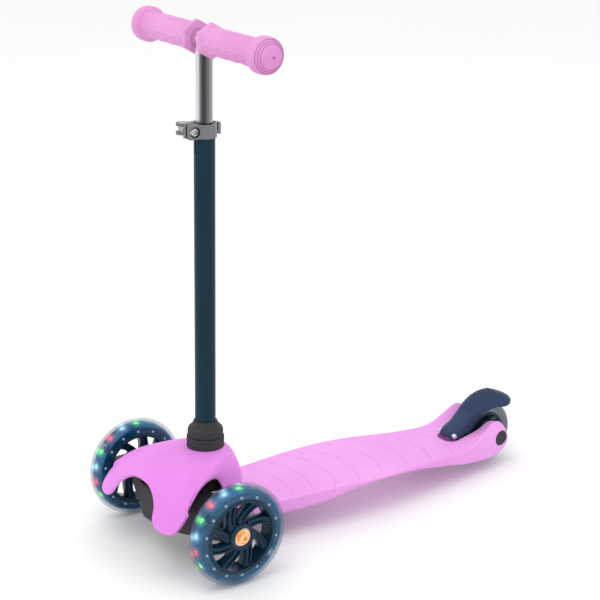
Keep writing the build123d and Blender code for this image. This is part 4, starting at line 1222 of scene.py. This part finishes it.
# ---------------------------------------------------------------- grips
@dataclass
class Grip:
    """Rubber grip: six-sided inner flange, body with raised scale loops, ringed end knob."""

    datum: Datum
    side: str
    sign: int
    start: float = 12.0
    end: float = 133.9
    bore: float = 9.7
    body_radius: float = 14.7
    flange_radius: float = 20.0
    flange_width: float = 6.5
    knob_radius: float = 19.95
    knob_start: float = 108.0
    relief: float = 0.85

    def hexagon(self, angle: np.ndarray) -> np.ndarray:
        """Radius of the six-sided flange round the bar."""
        sector = (angle + math.pi / 6) % (math.pi / 3) - math.pi / 6
        flat = self.flange_radius * math.cos(math.pi / 6) / np.cos(sector)
        return np.minimum(flat, self.flange_radius * 0.975)

    def loops(self, along: float, angle: np.ndarray) -> np.ndarray:
        """Height of the raised loops on the body, from 0 to 1."""
        height = np.zeros_like(angle)
        for row in range(3):
            centre_angle = math.tau * row / 3 + math.pi / 2
            for step in range(4):
                centre = 26 + 21 * step + (row % 2) * 6
                turn = (angle - centre_angle + math.pi) % math.tau - math.pi
                across = turn * self.body_radius
                for reach, tall in ((11.5, 7.5), (6.6, 4.0)):
                    away = np.sqrt(((along - centre) / reach) ** 2 + (across / tall) ** 2)
                    height = np.maximum(height, np.exp(-(((away - 1) * tall) / 0.85) ** 2))
        edge = min(1.0, max(0.0, (along - 14) / 5)) * min(1.0, max(0.0, (self.knob_start - 4 - along) / 5))
        return height * edge

    def build(self) -> None:
        """Make the grip and dress it."""
        steps = 120
        angle = np.arange(steps) * math.tau / steps
        flange_end = self.start + self.flange_width
        stations: list[tuple[float, np.ndarray]] = []
        hexagon = self.hexagon(angle)
        body = np.full(steps, self.body_radius)
        for along, inset in ((self.start, 1.0), (self.start + 0.4, 0.35), (self.start + 1.1, 0.0)):
            stations.append((along, hexagon - inset))
        for share in np.linspace(0, 1, 9):
            mix = share * share * (3 - 2 * share)
            stations.append((flange_end - 2 + share * 5.5, hexagon * (1 - mix) + body * mix))
        for along in np.linspace(flange_end + 4.2, self.knob_start - 1.5, 116):
            stations.append(
                (float(along), self.body_radius + self.relief * self.loops(float(along), angle))
            )
        knob = [
            (0, 15.2), (1.3, 16.4), (2.2, 18.3), (3.0, 19.4), (4.2, self.knob_radius),
            (12.8, self.knob_radius), (14.8, 19.5), (16.2, 18.7), (16.5, 18.2), (15.7, 17.9),
            (15.8, 17.4), (16.9, 17.4), (18.4, 16.6), (18.7, 16.1), (17.9, 15.8), (18.0, 15.3),
            (19.0, 15.3), (20.4, 14.4), (20.7, 13.9), (19.9, 13.6), (20.0, 13.1), (21.0, 13.1),
            (22.6, 11.7), (24.3, 9.0), (25.3, 6.0), (25.8, 3.0), (self.end - self.knob_start, 1.6),
            (self.end - self.knob_start - 0.6, 1.1), (self.end - self.knob_start - 4.0, 1.1),
        ]
        for along, radius in knob:
            stations.append((self.knob_start + along, np.full(steps, radius)))
        stations.append((self.end - 4.05, np.full(steps, self.bore)))
        stations.append((self.start, np.full(steps, self.bore)))
        centre = self.datum.bar
        rings = np.stack([
            np.stack(
                [
                    np.full(steps, self.sign * along), centre[1] + radius * np.cos(angle),
                    centre[2] + radius * np.sin(angle),
                ],
                axis=1,
            )
            for along, radius in stations
        ])
        grip = Skin().loft(rings, loop=True).made(f"handle_grip_{self.side}", 32)
        low, high = self.datum.column(self.datum.bar[2] - 60), self.datum.bar
        middle = tuple((a + b) / 2 for a, b in zip(low, high))
        reach = math.dist(low, high) / 2
        notch = Skin().turn(
            along_axis(middle, self.datum.column_up), [(-reach, 10.1), (reach, 10.1)], 48, hollow=False,
        )
        carved(grip, [notch.made("notch")], 32)
        fit(grip, "handlebar", [GRIP_PINK], f"grip_{self.side}")


# ---------------------------------------------------------------- pieces kept from the frame
KEPT: dict[str, Finish] = {
    "front_frame": BLACK, "truck_beam": BLACK, "base_collar": BLACK, "collar_cap": BLACK,
    "rear_axle_caps": BLACK,
    "tube_bush": BLACK, "lower_tube": TUBE_NAVY, "upper_tube": CHROME, "crossbar": BAR_CHROME,
    "clamp_collar": CAST, "clamp_lever": CAST, "lever_barrel": STEEL, "clamp_washer": STEEL,
    "clamp_bolt": STEEL,
    "column_bolt": STEEL, "column_nut": STEEL, "deck_screws": STEEL, "cover_screws": STEEL,
    "steering_spring_rods": STEEL,
    "kingpin_bolt": STEEL, "kingpin_nut": STEEL, "kingpin_washers": STEEL, "kingpin_bushings": RUBBER,
    "front_axle_bolts": COPPER, "front_axle_washers": COPPER, "front_axle_nuts": STEEL,
    "front_bearings_left": STEEL, "front_bearings_right": STEEL, "rear_bearings": STEEL,
    "rear_axle_bolt": STEEL, "rear_axle_nut": STEEL, "rear_axle_spacers": STEEL, "brake_spring": STEEL,
    "magnet_sleeve_left": MAGNET, "magnet_sleeve_right": MAGNET,
}


def dress_kept(frame: dict) -> None:
    """Give each node that keeps its own shape its finish.
    """
    for name, finish in KEPT.items():
        node = frame["nodes"][name]
        node.data.materials.clear()
        node.data.materials.append(finish.material())
        LOG.info("%s keeps its shape, in %s", name, finish.name)


# ---------------------------------------------------------------- studio
@dataclass
class Studio:
    """White floor, soft lights and the camera."""

    eye: tuple[float, float, float] = (1.5770, -1.1634, 0.9183)
    aim: tuple[float, float, float] = (-0.7789, 0.5418, -0.3158)
    roll: float = 0.21
    lens: float = 104.05
    shift: tuple[float, float] = (0.0166, -0.0060)

    def build(self) -> None:
        """Set the stage."""
        self.build_floor()
        self.build_lights()
        self.build_camera()

    def build_floor(self) -> None:
        """Make the floor and the bright surroundings."""
        reach = 12000.0
        ring = [(-reach, -reach), (reach, -reach), (reach, reach), (-reach, reach)]
        rings = np.array([[(x, y, z) for x, y in ring] for z in (-20.0, 0.0)])
        floor = Skin().loft(rings).made("floor")
        graph = Graph("white_sweep")
        soft = graph.noise(graph.place(), 3.0, 2.0)
        floor.data.materials.append(
            graph.shaded(
                {"Base Color": graph.blend(soft, (0.93, 0.93, 0.93), (0.95, 0.95, 0.95)), "Roughness": 0.75}
            )
        )
        world = bpy.data.worlds.new("white_room")
        world.use_nodes = True
        world.node_tree.nodes["Background"].inputs[0].default_value = (1.0, 1.0, 1.0, 1.0)
        world.node_tree.nodes["Background"].inputs[1].default_value = 1.0
        bpy.context.scene.world = world
        bpy.context.scene.view_settings.view_transform = "Standard"

    def build_lights(self) -> None:
        """Hang the soft boxes."""
        boxes = (
            ("key_box", (0.4, -1.1, 2.2), 1.5, 13.5),
            ("fill_box", (2.2, 0.6, 1.4), 1.6, 4.0),
            ("left_box", (-1.8, -1.2, 1.3), 1.6, 4.0),
            ("back_box", (-1.2, 1.8, 1.6), 1.6, 3.0),
        )
        for name, spot, size, power in boxes:
            lamp = bpy.data.lights.new(name, "AREA")
            lamp.size = size
            lamp.energy = power
            made = bpy.data.objects.new(name, lamp)
            made.location = spot
            made.rotation_euler = (Vector((0, 0, 0.2)) - Vector(spot)).to_track_quat("-Z", "Y").to_euler()
            bpy.context.scene.collection.objects.link(made)

    def build_camera(self) -> None:
        """Place the camera."""
        data = bpy.data.cameras.new("camera")
        data.lens = self.lens
        data.sensor_width = 36.0
        data.shift_x, data.shift_y = self.shift
        camera = bpy.data.objects.new("camera", data)
        look = Vector(self.aim).to_track_quat("-Z", "Y").to_matrix().to_4x4()
        camera.matrix_world = Matrix.Translation(Vector(self.eye)) @ look @ Matrix.Rotation(
            math.radians(self.roll), 4, "Z",
        )
        bpy.context.scene.collection.objects.link(camera)
        bpy.context.scene.camera = camera


def main() -> None:
    """Build the visible scooter around the frame."""
    logging.basicConfig(level=logging.INFO, format="%(name)s %(message)s")
    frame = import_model()
    datum = Datum.read(frame)
    dress_kept(frame)
    Deck(datum).build()
    Cover(datum).build()
    Brake(datum).build()
    for side, sign in (("left", 1), ("right", -1)):
        FrontWheel(datum, side, sign).build()
        Grip(datum, side, sign).build()
    RearWheel(datum).build()
    Studio().build()


if __name__ == "__main__":
    main()
